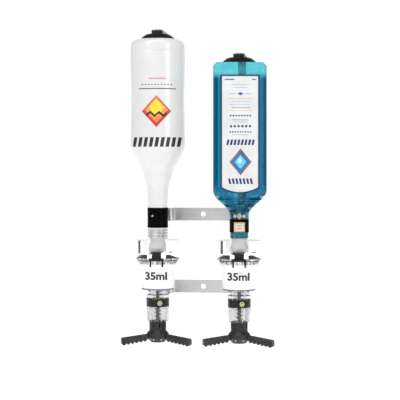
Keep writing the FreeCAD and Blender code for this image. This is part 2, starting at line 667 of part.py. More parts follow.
def coil_tube(name, across, depth, low, high, radius, wire, turns):
    """One unbroken coil spring with a closed turn at each end."""
    steps = turns * 4
    closed = 2 * wire + 0.5
    open_pitch = (high - low - 2 * wire - 1.5 * closed) / (turns - 1.5)

    def rise(turn):
        end = min(turn, 0.75) + max(0.0, turn - (turns - 0.75))
        return low + wire + end * closed + (turn - end) * open_pitch

    def spot(turn):
        angle = 2 * math.pi * turn
        return FreeCAD.Vector(radius * math.cos(angle), radius * math.sin(angle), rise(turn))

    def heading(turn):
        angle = 2 * math.pi * turn
        slope = (rise(turn + 0.01) - rise(turn - 0.01)) / 0.02 / (2 * math.pi * radius)
        return FreeCAD.Vector(-math.sin(angle), math.cos(angle), slope).normalize()

    edges = []
    for step in range(steps):
        first, last = spot(step / 4), spot((step + 1) / 4)
        out, into = heading(step / 4), heading((step + 1) / 4)
        across_span = last - first
        both = out + into
        spread = 2 * (1 - out.dot(into))
        along = across_span.dot(both)
        reach = (math.sqrt(along ** 2 + spread * across_span.dot(across_span)) - along) / spread
        middle = (first + out * reach + last - into * reach) * 0.5
        edges.append(Part.Arc(first, half_way(first, out, middle, reach), middle).toShape())
        edges.append(Part.Arc(middle, half_way(last, into * -1, middle, reach), last).toShape())
    path = Part.Wire(edges)
    section = Part.Wire(Part.Circle(spot(0), heading(0), wire).toShape())
    tube = path.makePipeShell([section], True, False)
    piece = doc.addObject("Part::Feature", name)
    piece.Label = name
    piece.Shape = tube
    piece.Placement = FreeCAD.Placement(FreeCAD.Vector(across, depth, 0), FreeCAD.Rotation())
    pieces.append(piece)
    samples = [spot(turns * index / 240) for index in range(241)]
    apart = 240 // turns // 2
    gap = min(
        (samples[one] - samples[two]).Length
        for one in range(241) for two in range(one + apart, 241)
    )
    print("%s least gap to itself %.2f mm" % (name, gap - 2 * wire))


def round_bottle(side, across):
    """A round glass bottle, upside down, with a soft waist."""
    name = side + "_bottle"
    body = new_body(name, across, "-axis_depth", "station_lift")
    wall = "glass_wall"
    revolve(body, [
        ("neck_bore", "lip_level"),
        ("round_neck", "lip_level", "0.8"),
        ("round_neck", "round_sleeve_high + 4"),
        ("round_throat_radius", "round_throat", "50"),
        ("round_slope_radius", "round_slope", "60"),
        ("round_radius", "round_shoulder", "34"),
        ("round_waist", "round_mid", "300"),
        ("round_radius", "round_high", "60"),
        ("round_radius - 1", "round_base", "9"),
        ("round_foot", "round_base"),
        ("round_foot - 5", "round_base - 1.5"),
        ("0", "round_base - 3"),
        ("0", "round_base - 3 - %s * 1.5" % wall),
        ("round_radius - 1 - %s" % wall, "round_base - 3 - %s * 1.5" % wall, "6"),
        ("round_radius - %s" % wall, "round_high", "60"),
        ("round_waist - %s" % wall, "round_mid", "300"),
        ("round_radius - %s" % wall, "round_shoulder + 1", "30"),
        ("round_slope_radius - %s" % wall, "round_slope", "60"),
        ("round_throat_radius - %s" % wall, "round_throat", "50"),
        ("neck_bore", "round_sleeve_high + 4"),
    ])


def loft_through(body, name, kind, sections):
    """A loft through rounded rectangles given as (tag, level, half width, half depth, corner)."""
    sketches = []
    for tag, level, half, deep, corner in sections:
        sketch = new_sketch(body, "%s_%s" % (name, tag), "XY_Plane", lift=level)
        draw_loop(sketch, [
            ("-(%s)" % half, "-(%s)" % deep, corner), (half, "-(%s)" % deep, corner),
            (half, deep, corner), ("-(%s)" % half, deep, corner),
        ])
        sketches.append(sketch)
    loft = body.newObject("PartDesign::%sLoft" % kind, name)
    loft.Profile = sketches[0]
    loft.Sections = sketches[1:]
    loft.Ruled = True
    doc.recompute()


def square_bottle(side, across):
    """A square glass bottle, upside down, lofted from its base to its mouth."""
    name = side + "_bottle"
    body = new_body(name, across, "-axis_depth", "station_lift", "square_turn")
    panel = [
        ("body", "square_shoulder + 4", "square_half", "square_deep", "square_corner"),
        ("bend", "square_shoulder - 1.5", "square_half - 2", "square_deep - 1.5", "square_corner"),
        ("fall", "square_fall", "square_fall_half", "square_fall_deep", "square_corner + 1"),
        ("slope", "square_slope", "square_slope_half", "square_slope_deep", "square_corner + 3"),
    ]
    outside = [
        ("base", "square_base", "square_half - square_foot", "square_deep - square_foot",
         "square_corner - 3"),
        ("foot", "square_base - square_foot", "square_half", "square_deep", "square_corner"),
    ] + panel + [
        ("throat", "square_throat", "square_throat_half", "square_throat_half",
         "square_throat_half - 0.4"),
        ("curve", "square_throat - 4", "square_neck + 0.6", "square_neck + 0.6", "square_neck + 0.2"),
        ("neck", "square_neck_top", "square_neck", "square_neck", "square_neck - 0.1"),
        ("mouth", "lip_level", "square_neck", "square_neck", "square_neck - 0.1"),
    ]
    hollow = [
        ("base", "square_base - glass_wall * 2", "square_half - square_foot - glass_wall",
         "square_deep - square_foot - glass_wall", "square_corner - 5.5"),
        ("foot", "square_base - glass_wall * 3", "square_half - glass_wall",
         "square_deep - glass_wall", "square_corner - glass_wall"),
    ] + [
        (tag, level, "%s - glass_wall" % half, "%s - glass_wall" % deep, "%s - glass_wall" % corner)
        for tag, level, half, deep, corner in panel
    ] + [
        (tag, level, "neck_bore", "neck_bore", "neck_bore - 0.3")
        for tag, level in (("throat", "square_throat"), ("mouth", "lip_level - 1"))
    ]
    loft_through(body, name + "_outside", "Additive", outside)
    loft_through(body, name + "_hollow", "Subtractive", hollow)


def sleeve(side, across, neck, low, high, dip):
    """The thin sleeve round a bottle neck."""
    name = side + "_neck_sleeve"
    body = new_body(name, across, "-axis_depth", "station_lift")
    inner = "%s + sleeve_fit" % neck
    outer = "%s + sleeve_fit + sleeve_wall" % neck
    middle = "(%s) * 0.7 + (%s) * 0.3" % (low, high)
    revolve(body, [
        (inner, low), (outer, low), ("%s - %s" % (outer, dip), middle, "20"), (outer, high), (inner, high)
    ])


def stopper(side, across):
    """The grey stopper: a ribbed plug in the neck over a waisted body."""
    name = side + "_stopper"
    body = new_body(name, across, "-axis_depth", "station_lift")
    plug = [("cork_bore", "plug_high"), ("cork_bore", "seat_level"), ("cork_foot", "seat_level", "0.6")]
    plug += [
        ("cork_wide", "cork_wide_level", "3"), ("cork_waist", "cork_waist_level", "4"),
        ("cork_lip", "lip_level - 1.2"), ("cork_lip", "lip_level"), ("plug_radius - 0.9", "lip_level"),
    ]
    for ring in range(3):
        base = "lip_level + (plug_high - lip_level) * %.2f" % (0.1 + 0.3 * ring)
        plug += [
            ("plug_radius - 0.9", base), ("plug_radius", "%s + 1" % base),
            ("plug_radius - 0.9", "%s + 5" % base),
        ]
    plug.append(("plug_radius - 1.6", "plug_high"))
    revolve(body, plug)


def breather(side, across):
    """The tube that lets air up into the bottle."""
    name = side + "_breather_tube"
    body = new_body(name, across, "-axis_depth", "station_lift")
    revolve(body, [
        ("breather_bore", "seat_level"), ("breather_radius", "seat_level"),
        ("breather_radius", "breather_high"), ("breather_bore", "breather_high"),
    ])


def lid(side, across):
    """The black domed lid of the measure, with the neck that hangs in the fork."""
    name = side + "_lid"
    body = new_body(name, across, "-axis_depth", "station_lift", "measure_turn")
    revolve(body, [
        ("cork_bore", "seat_level"),
        ("cork_bore", "lid_apex - lid_skin"),
        ("lid_bend_radius", "lid_bend - lid_skin", "8"),
        ("lid_radius - lid_skin * 1.5", "lid_rim - 0.4"),
        ("lid_radius - lid_skin * 1.5", "lid_foot"),
        ("lid_radius", "lid_foot"),
        ("lid_radius", "lid_rim", "0.6"),
        ("lid_bend_radius + 1.5", "lid_bend", "9"),
        ("lid_neck", "lid_apex"),
        ("lid_neck", "seat_level"),
    ])
    blocks = [("key", "lid_neck / 2", "lid_bend - lid_skin"), ("stop", "key_back", "lid_foot")]
    for tag, back, foot in blocks:
        key = new_sketch(body, "%s_%s" % (name, tag), "XZ_Plane", lift=back)
        draw_loop(key, box_corners("-key_width / 2", foot, "key_width / 2", "seat_level - lid_gap"))
        extrude(body, key, "key_reach - (%s)" % back)
    legs = new_sketch(body, name + "_legs", "XZ_Plane", lift="cup_rim + leg_gap")
    for sign in ("", "-"):
        near = "%s(lug_width / 2 + sleeve_fit)" % sign
        far = "%s(lug_width / 2 + sleeve_fit + leg_width)" % sign
        corners = box_corners(near, "leg_low", far, "lid_rim - 0.3")
        draw_loop(legs, corners if sign == "" else corners[::-1])
    extrude(body, legs, "lug_reach - cup_rim - leg_gap")
    window = new_sketch(body, name + "_windows", "XY_Plane", lift="lid_foot")
    for sign in ("", "-"):
        near = "%s(window_side - window_width / 2)" % sign
        far = "%s(window_side + window_width / 2)" % sign
        corners = box_corners(near, "-window_reach", far, "-lid_bend_radius + 6")
        draw_loop(window, corners if sign == "" else corners[::-1])
    extrude(body, window, "seat_level - lid_foot", "Pocket", reverse=True)


def valve_housing(side, across):
    """The white moulding under the lid that shows through the lid's windows."""
    name = side + "_valve_housing"
    body = new_body(name, across, "-axis_depth", "station_lift", "measure_turn")
    spigot = "housing_top - housing_spigot"
    revolve(body, [
        ("cork_bore", "housing_top"), ("cork_bore", spigot), ("valve_radius + 1", spigot),
        ("valve_radius + 1", "housing_top - housing_skin"),
        ("housing_radius", "housing_top - housing_skin"), ("housing_radius", "housing_top"),
    ])
    tabs = new_sketch(body, name + "_tabs", "XY_Plane", lift="housing_top - housing_skin")
    for sign in ("", "-"):
        near = "%s(window_side - window_width / 2 + sleeve_fit)" % sign
        far = "%s(window_side + window_width / 2 - sleeve_fit)" % sign
        back = "-lid_bend_radius + 6 + sleeve_fit"
        corners = box_corners(near, "-window_reach + sleeve_fit", far, back)
        draw_loop(tabs, corners if sign == "" else corners[::-1])
    extrude(body, tabs, "lid_apex - 0.2 - housing_top + housing_skin")


def gasket(side, across):
    """The seal between the lid and the cup."""
    name = side + "_gasket"
    body = new_body(name, across, "-axis_depth", "station_lift")
    revolve(body, [
        ("cup_top - cup_wall", "lid_foot"), ("cup_top - cup_wall", "lid_foot - gasket_thick"),
        ("cup_rim + 1.2", "lid_foot - gasket_thick"), ("cup_rim + 1.2", "lid_foot"),
    ])


def cup(side, across):
    """The tapered measuring cup."""
    name = side + "_cup"
    body = new_body(name, across, "-axis_depth", "station_lift", "measure_turn")
    top = "lid_foot - gasket_thick"
    revolve(body, [
        ("cup_outlet", "cup_floor"),
        ("cup_low", "cup_floor", "1.6"),
        ("cup_top", "%s - cup_rim_high" % top),
        ("cup_rim", "%s - cup_rim_high" % top),
        ("cup_rim", top, "0.5"),
        ("cup_top - cup_wall", top),
        ("cup_low - cup_wall", "cup_floor + cup_wall", "1.2"),
        ("cup_outlet", "cup_floor + cup_wall"),
    ])
    lug = new_sketch(body, name + "_lug", "XZ_Plane", lift="cup_low + 2")
    draw_loop(lug, [
        ("-lug_width / 2", "lug_low", "2"), ("lug_width / 2", "lug_low", "2"),
        ("lug_width / 2", "lid_foot - gasket_thick"), ("-lug_width / 2", "lid_foot - gasket_thick"),
    ])
    extrude(body, lug, "lug_reach - cup_low - 2")


def spout(side, across):
    """The clear outlet under the cup."""
    name = side + "_outlet"
    body = new_body(name, across, "-axis_depth", "station_lift")
    revolve(body, [
        ("spout_bore", "cup_floor"),
        ("spout_top + 1.2", "cup_floor"),
        ("spout_top + 1.2", "cup_floor - 2.4"),
        ("spout_top - 0.6", "cup_floor - 3"),
        ("spout_top", "cup_floor - 4"),
        ("spout_top", "spout_step"),
        ("spout_radius", "spout_step - 0.8", "0.6"),
        ("spout_radius", "spout_end"),
        ("spout_inner", "spout_end"),
        ("spout_inner", "spout_foot"),
        ("rod_radius + 0.4", "spout_foot"),
        ("rod_radius + 0.4", "spout_foot + 2.2"),
        ("spout_bore", "spout_foot + 2.2"),
    ])


def band(side, across):
    """The black band round the outlet."""
    name = side + "_band"
    body = new_body(name, across, "-axis_depth", "station_lift")
    revolve(body, [
        ("spout_inner + band_fit", "spout_foot"), ("band_radius", "spout_foot", "0.5"),
        ("band_radius", "spout_end", "0.5"), ("spout_inner + band_fit", "spout_end"),
    ])


def skirt(side, across):
    """The clear ribbed skirt that guides the hub."""
    name = side + "_skirt"
    body = new_body(name, across, "-axis_depth", "station_lift")
    revolve(body, [
        ("skirt_ledge", "spout_foot"),
        ("skirt_ledge", "spout_foot - 1.6"),
        ("skirt_top - skirt_wall", "spout_foot - 1.6"),
        ("skirt_low - skirt_wall", "skirt_end"),
        ("skirt_low", "skirt_end"),
        ("skirt_top", "spout_foot"),
    ])
    rib = new_sketch(body, name + "_rib", "XZ_Plane")
    draw_loop(rib, [
        ("skirt_low - 0.4", "skirt_end"),
        ("skirt_low + skirt_rib", "skirt_end"),
        ("skirt_top + skirt_rib - 0.4", "spout_foot - 1.5"),
        ("skirt_top - 0.4", "spout_foot - 1.5"),
    ])
    form = extrude(body, rib, "skirt_rib_width", middle=True)
    pattern(body, form, SKIRT_RIBS)


def hub(side, across):
    """The push up hub: slotted crown, flared foot, and two toothed arms swept forward."""
    name = side + "_hub"
    body = new_body(name, across, "-axis_depth", "station_lift")
    revolve(body, [
        ("hub_bore", "hub_top"),
        ("hub_bore", "hub_seat"),
        ("spout_hole", "hub_seat"),
        ("spout_hole", "hub_floor"),
        ("hub_floor_radius", "hub_floor"),
        ("hub_flare", "hub_side_low", "4"),
        ("hub_flare", "hub_flare_low"),
        ("hub_radius", "hub_flare_level"),
        ("hub_radius", "hub_seat - ring_groove"),
        ("hub_radius - ring_groove", "hub_seat - ring_groove"),
        ("hub_radius - ring_groove", "hub_seat"),
        ("hub_radius", "hub_seat"),
        ("hub_radius", "hub_top"),
    ])
    flute = new_sketch(body, name + "_flute", "XZ_Plane", turn="180 / %d" % CROWN_SLOTS)
    draw_loop(flute, [
        ("hub_radius - flute_deep", "hub_seat - ring_groove * 2"),
        ("hub_radius - flute_deep", "hub_flare_level"),
        ("hub_flare - flute_deep", "hub_flare_low"),
        ("hub_flare - flute_deep", "hub_side_low"),
        ("hub_flare + 1", "hub_side_low"),
        ("hub_flare + 1", "hub_seat - ring_groove * 2"),
    ])
    form = extrude(body, flute, "flute_width", "Pocket", middle=True)
    pattern(body, form, CROWN_SLOTS)
    slot = new_sketch(body, name + "_slot", "XZ_Plane", turn="180 / %d" % CROWN_SLOTS)
    draw_loop(slot, box_corners(
        "-crown_slot / 2", "hub_top - crown_slot_deep", "crown_slot / 2", "hub_top + 1",
    ))
    form = extrude(body, slot, "hub_radius + 1", "Pocket", reverse=True)
    pattern(body, form, CROWN_SLOTS)
    for tag, sign in (("right", ""), ("left", "-")):
        swing = "-arm_sweep" if tag == "right" else "arm_sweep"
        sketch = new_sketch(body, name + "_arm_" + tag, "XZ_Plane", turn=swing)

        def corner(reach, drop):
            fall = "arm_droop * (%s)" % reach
            if drop != "0":
                fall += " + arm_spread * (%s) + %s" % (reach, drop)
            return ("%s(%s)" % (sign, reach), "arm_root_level - (%s)" % fall)

        outline = [corner("spout_hole + 1.5", "0"), corner("spout_hole + 1.5", "arm_deep - tooth_deep")]
        for tooth in range(TEETH):
            start = "tooth_start + tooth_pitch * %d" % tooth
            outline.append(corner(start, "arm_deep - tooth_deep"))
            outline.append(corner(start + " + tooth_pitch * 0.2", "arm_deep"))
            outline.append(corner(start + " + tooth_pitch * 0.62", "arm_deep"))
        outline.append(corner("arm_tip", "arm_deep - tooth_deep"))
        outline.append(corner("arm_tip", "0"))
        draw_loop(sketch, outline)
        extrude(body, sketch, "arm_bar", middle=True)
    arms = body.Tip
    ridge = []
    tip_level = value("arm_root_level - arm_droop * arm_tip")
    for index, edge in enumerate(arms.Shape.Edges, 1):
        heights = sorted(vertex.Point.z for vertex in edge.Vertexes)
        if len(heights) == 2 and abs(heights[0] - tip_level) < 0.01 and heights[1] - heights[0] > 1:
            ridge.append("Edge%d" % index)
    fillet = body.newObject("PartDesign::Fillet", name + "_ridge")
    fillet.Base = (arms, ridge)
    fillet.setExpression("Radius", bound("arm_round"))
    doc.recompute()


def spindle(side, across):
    """The valve rod that stands in the hub and opens the outlet."""
    name = side + "_spindle"
    body = new_body(name, across, "-axis_depth", "station_lift")
    revolve(body, [
        ("0", "hub_seat"), ("spout_hole + 1.6", "hub_seat"), ("spout_hole + 1.6", "hub_seat + 1.5"),
        ("rod_radius", "hub_seat + 1.5"), ("rod_radius", "rod_top"), ("0", "rod_top"),
    ])


def valve_seals(side, across):
    """The lower seal on the cup floor and the upper seal under the inlet."""
    name = side + "_valve_seals"
    body = new_body(name, across, "-axis_depth", "station_lift")
    low = "cup_floor + cup_wall + push_clear"
    for tag, level in (("lower", low), ("upper", "upper_valve_level")):
        sketch = new_sketch(body, name + "_" + tag, "XY_Plane", lift=level)
        draw_circle(sketch, "0", "0", "valve_radius")
        draw_circle(sketch, "0", "0", "rod_radius")
        extrude(body, sketch, "valve_thick")


for level_sign, strip_name in (("", "upper_wall_strip"), ("-", "lower_wall_strip")):
    wall_strip(strip_name, "%sscrew_spacing / 2" % level_sign)

for side, sign, base in (("left", "-", "round_base"), ("right", "", "square_base")):
    station = "%sstation_spacing / 2" % sign
    rail(side, station)
    holder(side, station)
    holder_screws(side, station)
    catch_spring(side, station)
    spring_anchor(side, station)
    mast(side, station, base)
    top_arm(side, station, base)
    dome_pad(side, station, base)
    rubber_face(side, station, base)
    pad_screw(side, station, base)
    mast_hook(side, station)
    if side == "left":
        round_bottle(side, station)
        sleeve(side, station, "round_neck", "round_sleeve_low", "round_sleeve_high", "0.25")
    else:
        square_bottle(side, station)
        sleeve(side, station, "square_neck", "square_sleeve_low", "square_sleeve_high", "0.1")
    stopper(side, station)
    breather(side, station)
    lid(side, station)
    valve_housing(side, station)
    gasket(side, station)
    cup(side, station)
    spout(side, station)
    band(side, station)
    skirt(side, station)
    hub(side, station)
    spindle(side, station)
    valve_seals(side, station)
    coil_tube(
        side + "_mast_spring", value(station), value("pull_back - axis_depth"),
        value("pull_low"), value("pull_high"), value("pull_radius"), value("pull_wire"), PULL_TURNS,
    )
    coil_tube(
        side + "_return_spring", value(station), value("-axis_depth"),
        value("station_lift + hub_seat + 1.5 + push_clear"),
        value("station_lift + spout_foot - push_clear"),
        value("push_radius"), value("push_wire"), PUSH_TURNS,
    )

doc.recompute()
for item in doc.Objects:
    if "Invalid" in item.State or "Error" in item.State:
        raise RuntimeError("%s failed: %s" % (item.Name, item.State))
for piece in pieces:
    if piece.Shape.isNull() or not piece.Shape.isValid():
        raise RuntimeError("%s has no valid shape" % piece.Label)

os.makedirs("parts", exist_ok=True)
for piece in pieces:
    piece.Shape.exportStep("parts/%s.step" % piece.Label)
print("%d pieces written" % len(pieces))
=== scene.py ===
import math

import bmesh
import bpy
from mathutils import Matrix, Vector
from mathutils.bvhtree import BVHTree


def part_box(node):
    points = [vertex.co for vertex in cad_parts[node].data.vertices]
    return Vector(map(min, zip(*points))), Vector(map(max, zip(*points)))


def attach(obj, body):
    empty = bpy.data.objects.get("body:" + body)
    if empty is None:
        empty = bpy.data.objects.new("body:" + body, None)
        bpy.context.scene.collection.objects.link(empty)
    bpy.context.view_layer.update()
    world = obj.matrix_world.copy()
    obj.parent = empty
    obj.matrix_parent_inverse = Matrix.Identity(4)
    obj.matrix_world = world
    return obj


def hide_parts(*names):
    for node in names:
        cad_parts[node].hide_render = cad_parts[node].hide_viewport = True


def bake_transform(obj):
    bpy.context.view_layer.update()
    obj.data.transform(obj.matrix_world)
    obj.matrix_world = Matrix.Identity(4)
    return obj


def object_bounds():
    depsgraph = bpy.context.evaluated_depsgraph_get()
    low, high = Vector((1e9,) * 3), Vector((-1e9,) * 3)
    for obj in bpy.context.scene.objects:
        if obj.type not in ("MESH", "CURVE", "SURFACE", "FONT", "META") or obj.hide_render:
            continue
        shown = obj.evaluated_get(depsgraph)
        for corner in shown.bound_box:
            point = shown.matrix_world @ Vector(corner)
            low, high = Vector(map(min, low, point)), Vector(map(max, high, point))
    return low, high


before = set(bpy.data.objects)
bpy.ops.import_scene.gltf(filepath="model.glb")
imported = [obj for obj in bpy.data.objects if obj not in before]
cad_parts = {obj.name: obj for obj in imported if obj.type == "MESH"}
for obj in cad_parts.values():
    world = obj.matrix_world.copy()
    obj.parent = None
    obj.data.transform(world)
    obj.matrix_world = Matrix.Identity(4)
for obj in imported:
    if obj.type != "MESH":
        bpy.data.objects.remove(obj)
CAD_BOX = [list(corner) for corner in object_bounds()]

MM = 0.001
SIDES = ("left", "right")

# Turns of what shows in front, towards the right
LABEL_TURN = math.radians(7.0)
MARK_TURN = math.radians(2.0)
DISC_TURN = math.radians(20.0)

# Sizes of the CAD pieces that a bounding box doesn't give
CROWN_BORE = 9.5 * MM
CROWN_SLOT_FOOT = 10.2 * MM
RIM_OVER_GASKET = 2.2 * MM
LID_KEY_SHIFT = 2.0 * MM
LID_KEY_REACH = 9.8 * MM
NECK_RADIUS = 13.6 * MM
CUP_FOOT_RADIUS = 22.5 * MM
WIRE_SHARE = 0.137
PULL_TURNS = 6
PUSH_TURNS = 5


# Camera

def station_axis(side):
    """The upright axis of a station, from the middle of its cup."""
    low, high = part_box(side + "_cup")
    return (low + high) / 2


VIEW_YAW = math.radians(6.5)
VIEW_DISTANCE = 1.716
VIEW_HEIGHT = 0.115
FRAME_WIDTH = 0.556
FRAME_MIDDLE = Vector((0.0024, station_axis("left").y, 0.0739))


def make_camera():
    """A camera a little to the right of the bracket, level, shifted to frame it as in the photo."""
    data = bpy.data.cameras.new("camera")
    data.sensor_width = 36.0
    data.lens = 36.0 * VIEW_DISTANCE / FRAME_WIDTH
    data.shift_y = (FRAME_MIDDLE.z - VIEW_HEIGHT) / FRAME_WIDTH
    data.clip_start = 0.05
    data.clip_end = 50.0
    camera = bpy.data.objects.new("camera", data)
    bpy.context.scene.collection.objects.link(camera)
    back = Vector((math.sin(VIEW_YAW), -math.cos(VIEW_YAW), 0.0))
    camera.location = Vector((FRAME_MIDDLE.x, FRAME_MIDDLE.y, VIEW_HEIGHT)) + back * VIEW_DISTANCE
    camera.rotation_euler = (math.radians(90), 0.0, VIEW_YAW)
    bpy.context.scene.camera = camera


make_camera()


# Materials

def node_material(name):
    """An empty node material with its Principled shader, object coordinates and output."""
    material = bpy.data.materials.new(name)
    material.use_nodes = True
    tree = material.node_tree
    shader = tree.nodes["Principled BSDF"]
    place = tree.nodes.new("ShaderNodeTexCoord")
    return material, tree, shader, place.outputs["Object"]


def scaled(tree, vector, scale):
    """The coordinates stretched along each axis."""
    mapping = tree.nodes.new("ShaderNodeMapping")
    mapping.inputs["Scale"].default_value = scale
    tree.links.new(vector, mapping.inputs["Vector"])
    return mapping.outputs["Vector"]


def noise(tree, vector, scale, detail=3.0, rough=0.55):
    """A noise factor."""
    node = tree.nodes.new("ShaderNodeTexNoise")
    node.inputs["Scale"].default_value = scale
    node.inputs["Detail"].default_value = detail
    node.inputs["Roughness"].default_value = rough
    tree.links.new(vector, node.inputs["Vector"])
    return node.outputs["Fac"]


def ramp(tree, factor, stops):
    """A colour ramp over (position, colour) stops."""
    node = tree.nodes.new("ShaderNodeValToRGB")
    elements = node.color_ramp.elements
    while len(elements) < len(stops):
        elements.new(0.5)
    for element, (position, colour) in zip(elements, stops):
        element.position = position
        element.color = (*colour, 1.0)
    tree.links.new(factor, node.inputs["Fac"])
    return node.outputs["Color"]


def spread(tree, factor, low, high):
    """A factor mapped from its middle range to low and high."""
    node = tree.nodes.new("ShaderNodeMapRange")
    node.inputs["From Min"].default_value = 0.3
    node.inputs["From Max"].default_value = 0.7
    node.inputs["To Min"].default_value = low
    node.inputs["To Max"].default_value = high
    tree.links.new(factor, node.inputs["Value"])
    return node.outputs["Result"]


def along_axis(tree, vector, axis, shift):
    """The distance along one axis, from a shifted start."""
    dot = tree.nodes.new("ShaderNodeVectorMath")
    dot.operation = "DOT_PRODUCT"
    dot.inputs[1].default_value = axis
    tree.links.new(vector, dot.inputs[0])
    move = tree.nodes.new("ShaderNodeMath")
    move.operation = "SUBTRACT"
    move.inputs[1].default_value = shift
    tree.links.new(dot.outputs["Value"], move.inputs[0])
    return move.outputs["Value"]


def arithmetic(tree, operation, *values):
    """One or two values put through a math node."""
    node = tree.nodes.new("ShaderNodeMath")
    node.operation = operation
    for socket, value in zip(node.inputs, values):
        tree.links.new(value, socket)
    return node.outputs["Value"]


def over_range(tree, value, low, high):
    """A value mapped to nought at low and one at high, held at its ends."""
    node = tree.nodes.new("ShaderNodeMapRange")
    node.inputs["From Min"].default_value = low
    node.inputs["From Max"].default_value = high
    tree.links.new(value, node.inputs["Value"])
    return node.outputs["Result"]


def mixed(tree, factor, first, second):
    """Two colours mixed by a factor."""
    node = tree.nodes.new("ShaderNodeMix")
    node.data_type = "RGBA"
    tree.links.new(factor, node.inputs["Factor"])
    tree.links.new(first, node.inputs[6])
    tree.links.new(second, node.inputs[7])
    return node.outputs[2]


def streaks(tree, place, stops, scale=(350.0, 350.0, 60.0)):
    """Uneven upright streaks of a few colours."""
    return ramp(tree, noise(tree, scaled(tree, place, scale), 1.0, 4.0, 0.65), stops)


def bump(tree, shader, height, strength, distance):
    """A bump from a height factor."""
    node = tree.nodes.new("ShaderNodeBump")
    node.inputs["Strength"].default_value = strength
    node.inputs["Distance"].default_value = distance
    tree.links.new(height, node.inputs["Height"])
    tree.links.new(node.outputs["Normal"], shader.inputs["Normal"])


def moulded(name, dark, light, rough, coat=0.0, grain=900.0, depth=0.00002, specular=0.5, glow=0.0):
    """A moulded plastic or rubber: a faint mottle, uneven gloss and a fine grain."""
    material, tree, shader, place = node_material(name)
    mottle = noise(tree, place, 60.0)
    tree.links.new(ramp(tree, mottle, [(0.3, dark), (0.7, light)]), shader.inputs["Base Color"])
    fine = noise(tree, place, grain, 2.0)
    tree.links.new(spread(tree, mottle, rough * 0.85, rough * 1.15), shader.inputs["Roughness"])
    shader.inputs["Coat Weight"].default_value = coat
    shader.inputs["Coat Roughness"].default_value = 0.08
    shader.inputs["Specular IOR Level"].default_value = specular
    shader.inputs["Emission Color"].default_value = (1.0, 1.0, 1.0, 1.0)
    shader.inputs["Emission Strength"].default_value = glow
    bump(tree, shader, fine, 0.25, depth)
    return material


def brushed(name, dark, light, rough, along=(18.0, 900.0, 900.0), left_shade=1.0):
    """Metal with fine lines along one axis, and painted shade that darkens it towards the left end."""
    material, tree, shader, place = node_material(name)
    lines = noise(tree, scaled(tree, place, along), 1.0, 4.0)
    broad = noise(tree, scaled(tree, place, (30.0, 60.0, 60.0)), 1.0, 2.0)
    tone = ramp(tree, lines, [(0.25, dark), (0.75, light)])
    # Painted shade: a darker copy of the tone, mixed in towards the left end.
    shaded = ramp(tree, lines, [
        (0.25, tuple(left_shade * part for part in dark)), (0.75, tuple(left_shade * part for part in light)),
    ])
    rightward = over_range(tree, along_axis(tree, place, (1, 0, 0), 0.0), -0.045, 0.01)
    tree.links.new(mixed(tree, rightward, shaded, tone), shader.inputs["Base Color"])
    tree.links.new(spread(tree, broad, rough * 0.8, rough * 1.25), shader.inputs["Roughness"])
    shader.inputs["Metallic"].default_value = 1.0
    bump(tree, shader, lines, 0.3, 0.00002)
    return material


def clear_plastic(name, dark, light, rough, clarity, ior=1.45, grain=(60.0, 60.0, 12.0)):
    """Clear moulded plastic with a faint flow mottle."""
    material, tree, shader, place = node_material(name)
    flow = noise(tree, scaled(tree, place, grain), 1.0, 3.0)
    tree.links.new(ramp(tree, flow, [(0.3, dark), (0.7, light)]), shader.inputs["Base Color"])
    tree.links.new(spread(tree, flow, rough * 0.7, rough * 1.3), shader.inputs["Roughness"])
    shader.inputs["Transmission Weight"].default_value = clarity
    shader.inputs["IOR"].default_value = ior
    bump(tree, shader, flow, 0.05, 0.00003)
    return material


def zoned(name, dark, light, level, fade, zone_stops, rough, coat, upper, glow):
    """A moulded white with a zone of painted highlight and shade streaks above or below a level, where
    clear material shows what lies behind, and an optional painted glow.
    """
    material, tree, shader, place = node_material(name)
    mottle = noise(tree, place, 60.0)
    plain = ramp(tree, mottle, [(0.3, dark), (0.7, light)])
    zone = streaks(tree, place, zone_stops)
    height = along_axis(tree, place, (0, 0, 1), 0.0)
    low, high = (level, level + fade) if upper else (level, level - fade)
    part = over_range(tree, height, low, high)
    tree.links.new(mixed(tree, part, plain, zone), shader.inputs["Base Color"])
    tree.links.new(spread(tree, mottle, rough * 0.85, rough * 1.15), shader.inputs["Roughness"])
    shader.inputs["Coat Weight"].default_value = coat
    shader.inputs["Coat Roughness"].default_value = 0.08
    shader.inputs["Emission Color"].default_value = (1.0, 1.0, 1.0, 1.0)
    shader.inputs["Emission Strength"].default_value = glow
    bump(tree, shader, noise(tree, place, 300.0, 2.0), 0.15, 0.00003)
    return material


def lid_black():
    """Black, turning to painted highlight and shade streaks of grey round the rim of the lid beside its
    key and legs.
    """
    material, tree, shader, place = node_material("lid_black")
    mottle = noise(tree, place, 60.0)
    plain = ramp(tree, mottle, [(0.3, (0.006, 0.006, 0.007)), (0.7, (0.016, 0.016, 0.017))])
    zone = streaks(tree, place, CUP_STOPS)
    height = along_axis(tree, place, (0, 0, 1), 0.0)
    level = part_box("left_gasket")[1].z + RIM_OVER_GASKET
    rim = over_range(tree, height, level + 0.6 * MM, level - 0.4 * MM)
    folds = []
    for side in SIDES:
        sideways = along_axis(tree, place, (1, 0, 0), station_axis(side).x + LID_KEY_SHIFT)
        folds.append(arithmetic(tree, "ABSOLUTE", sideways))
    nearest = arithmetic(tree, "MINIMUM", *folds)
    beside = over_range(tree, nearest, LID_KEY_REACH, LID_KEY_REACH + 1.0 * MM)
    factor = arithmetic(tree, "MULTIPLY", rim, beside)
    tree.links.new(mixed(tree, factor, plain, zone), shader.inputs["Base Color"])
    tree.links.new(spread(tree, mottle, 0.12, 0.2), shader.inputs["Roughness"])
    shader.inputs["Specular IOR Level"].default_value = 0.3
    bump(tree, shader, noise(tree, place, 700.0, 2.0), 0.15, 0.00002)
    return material


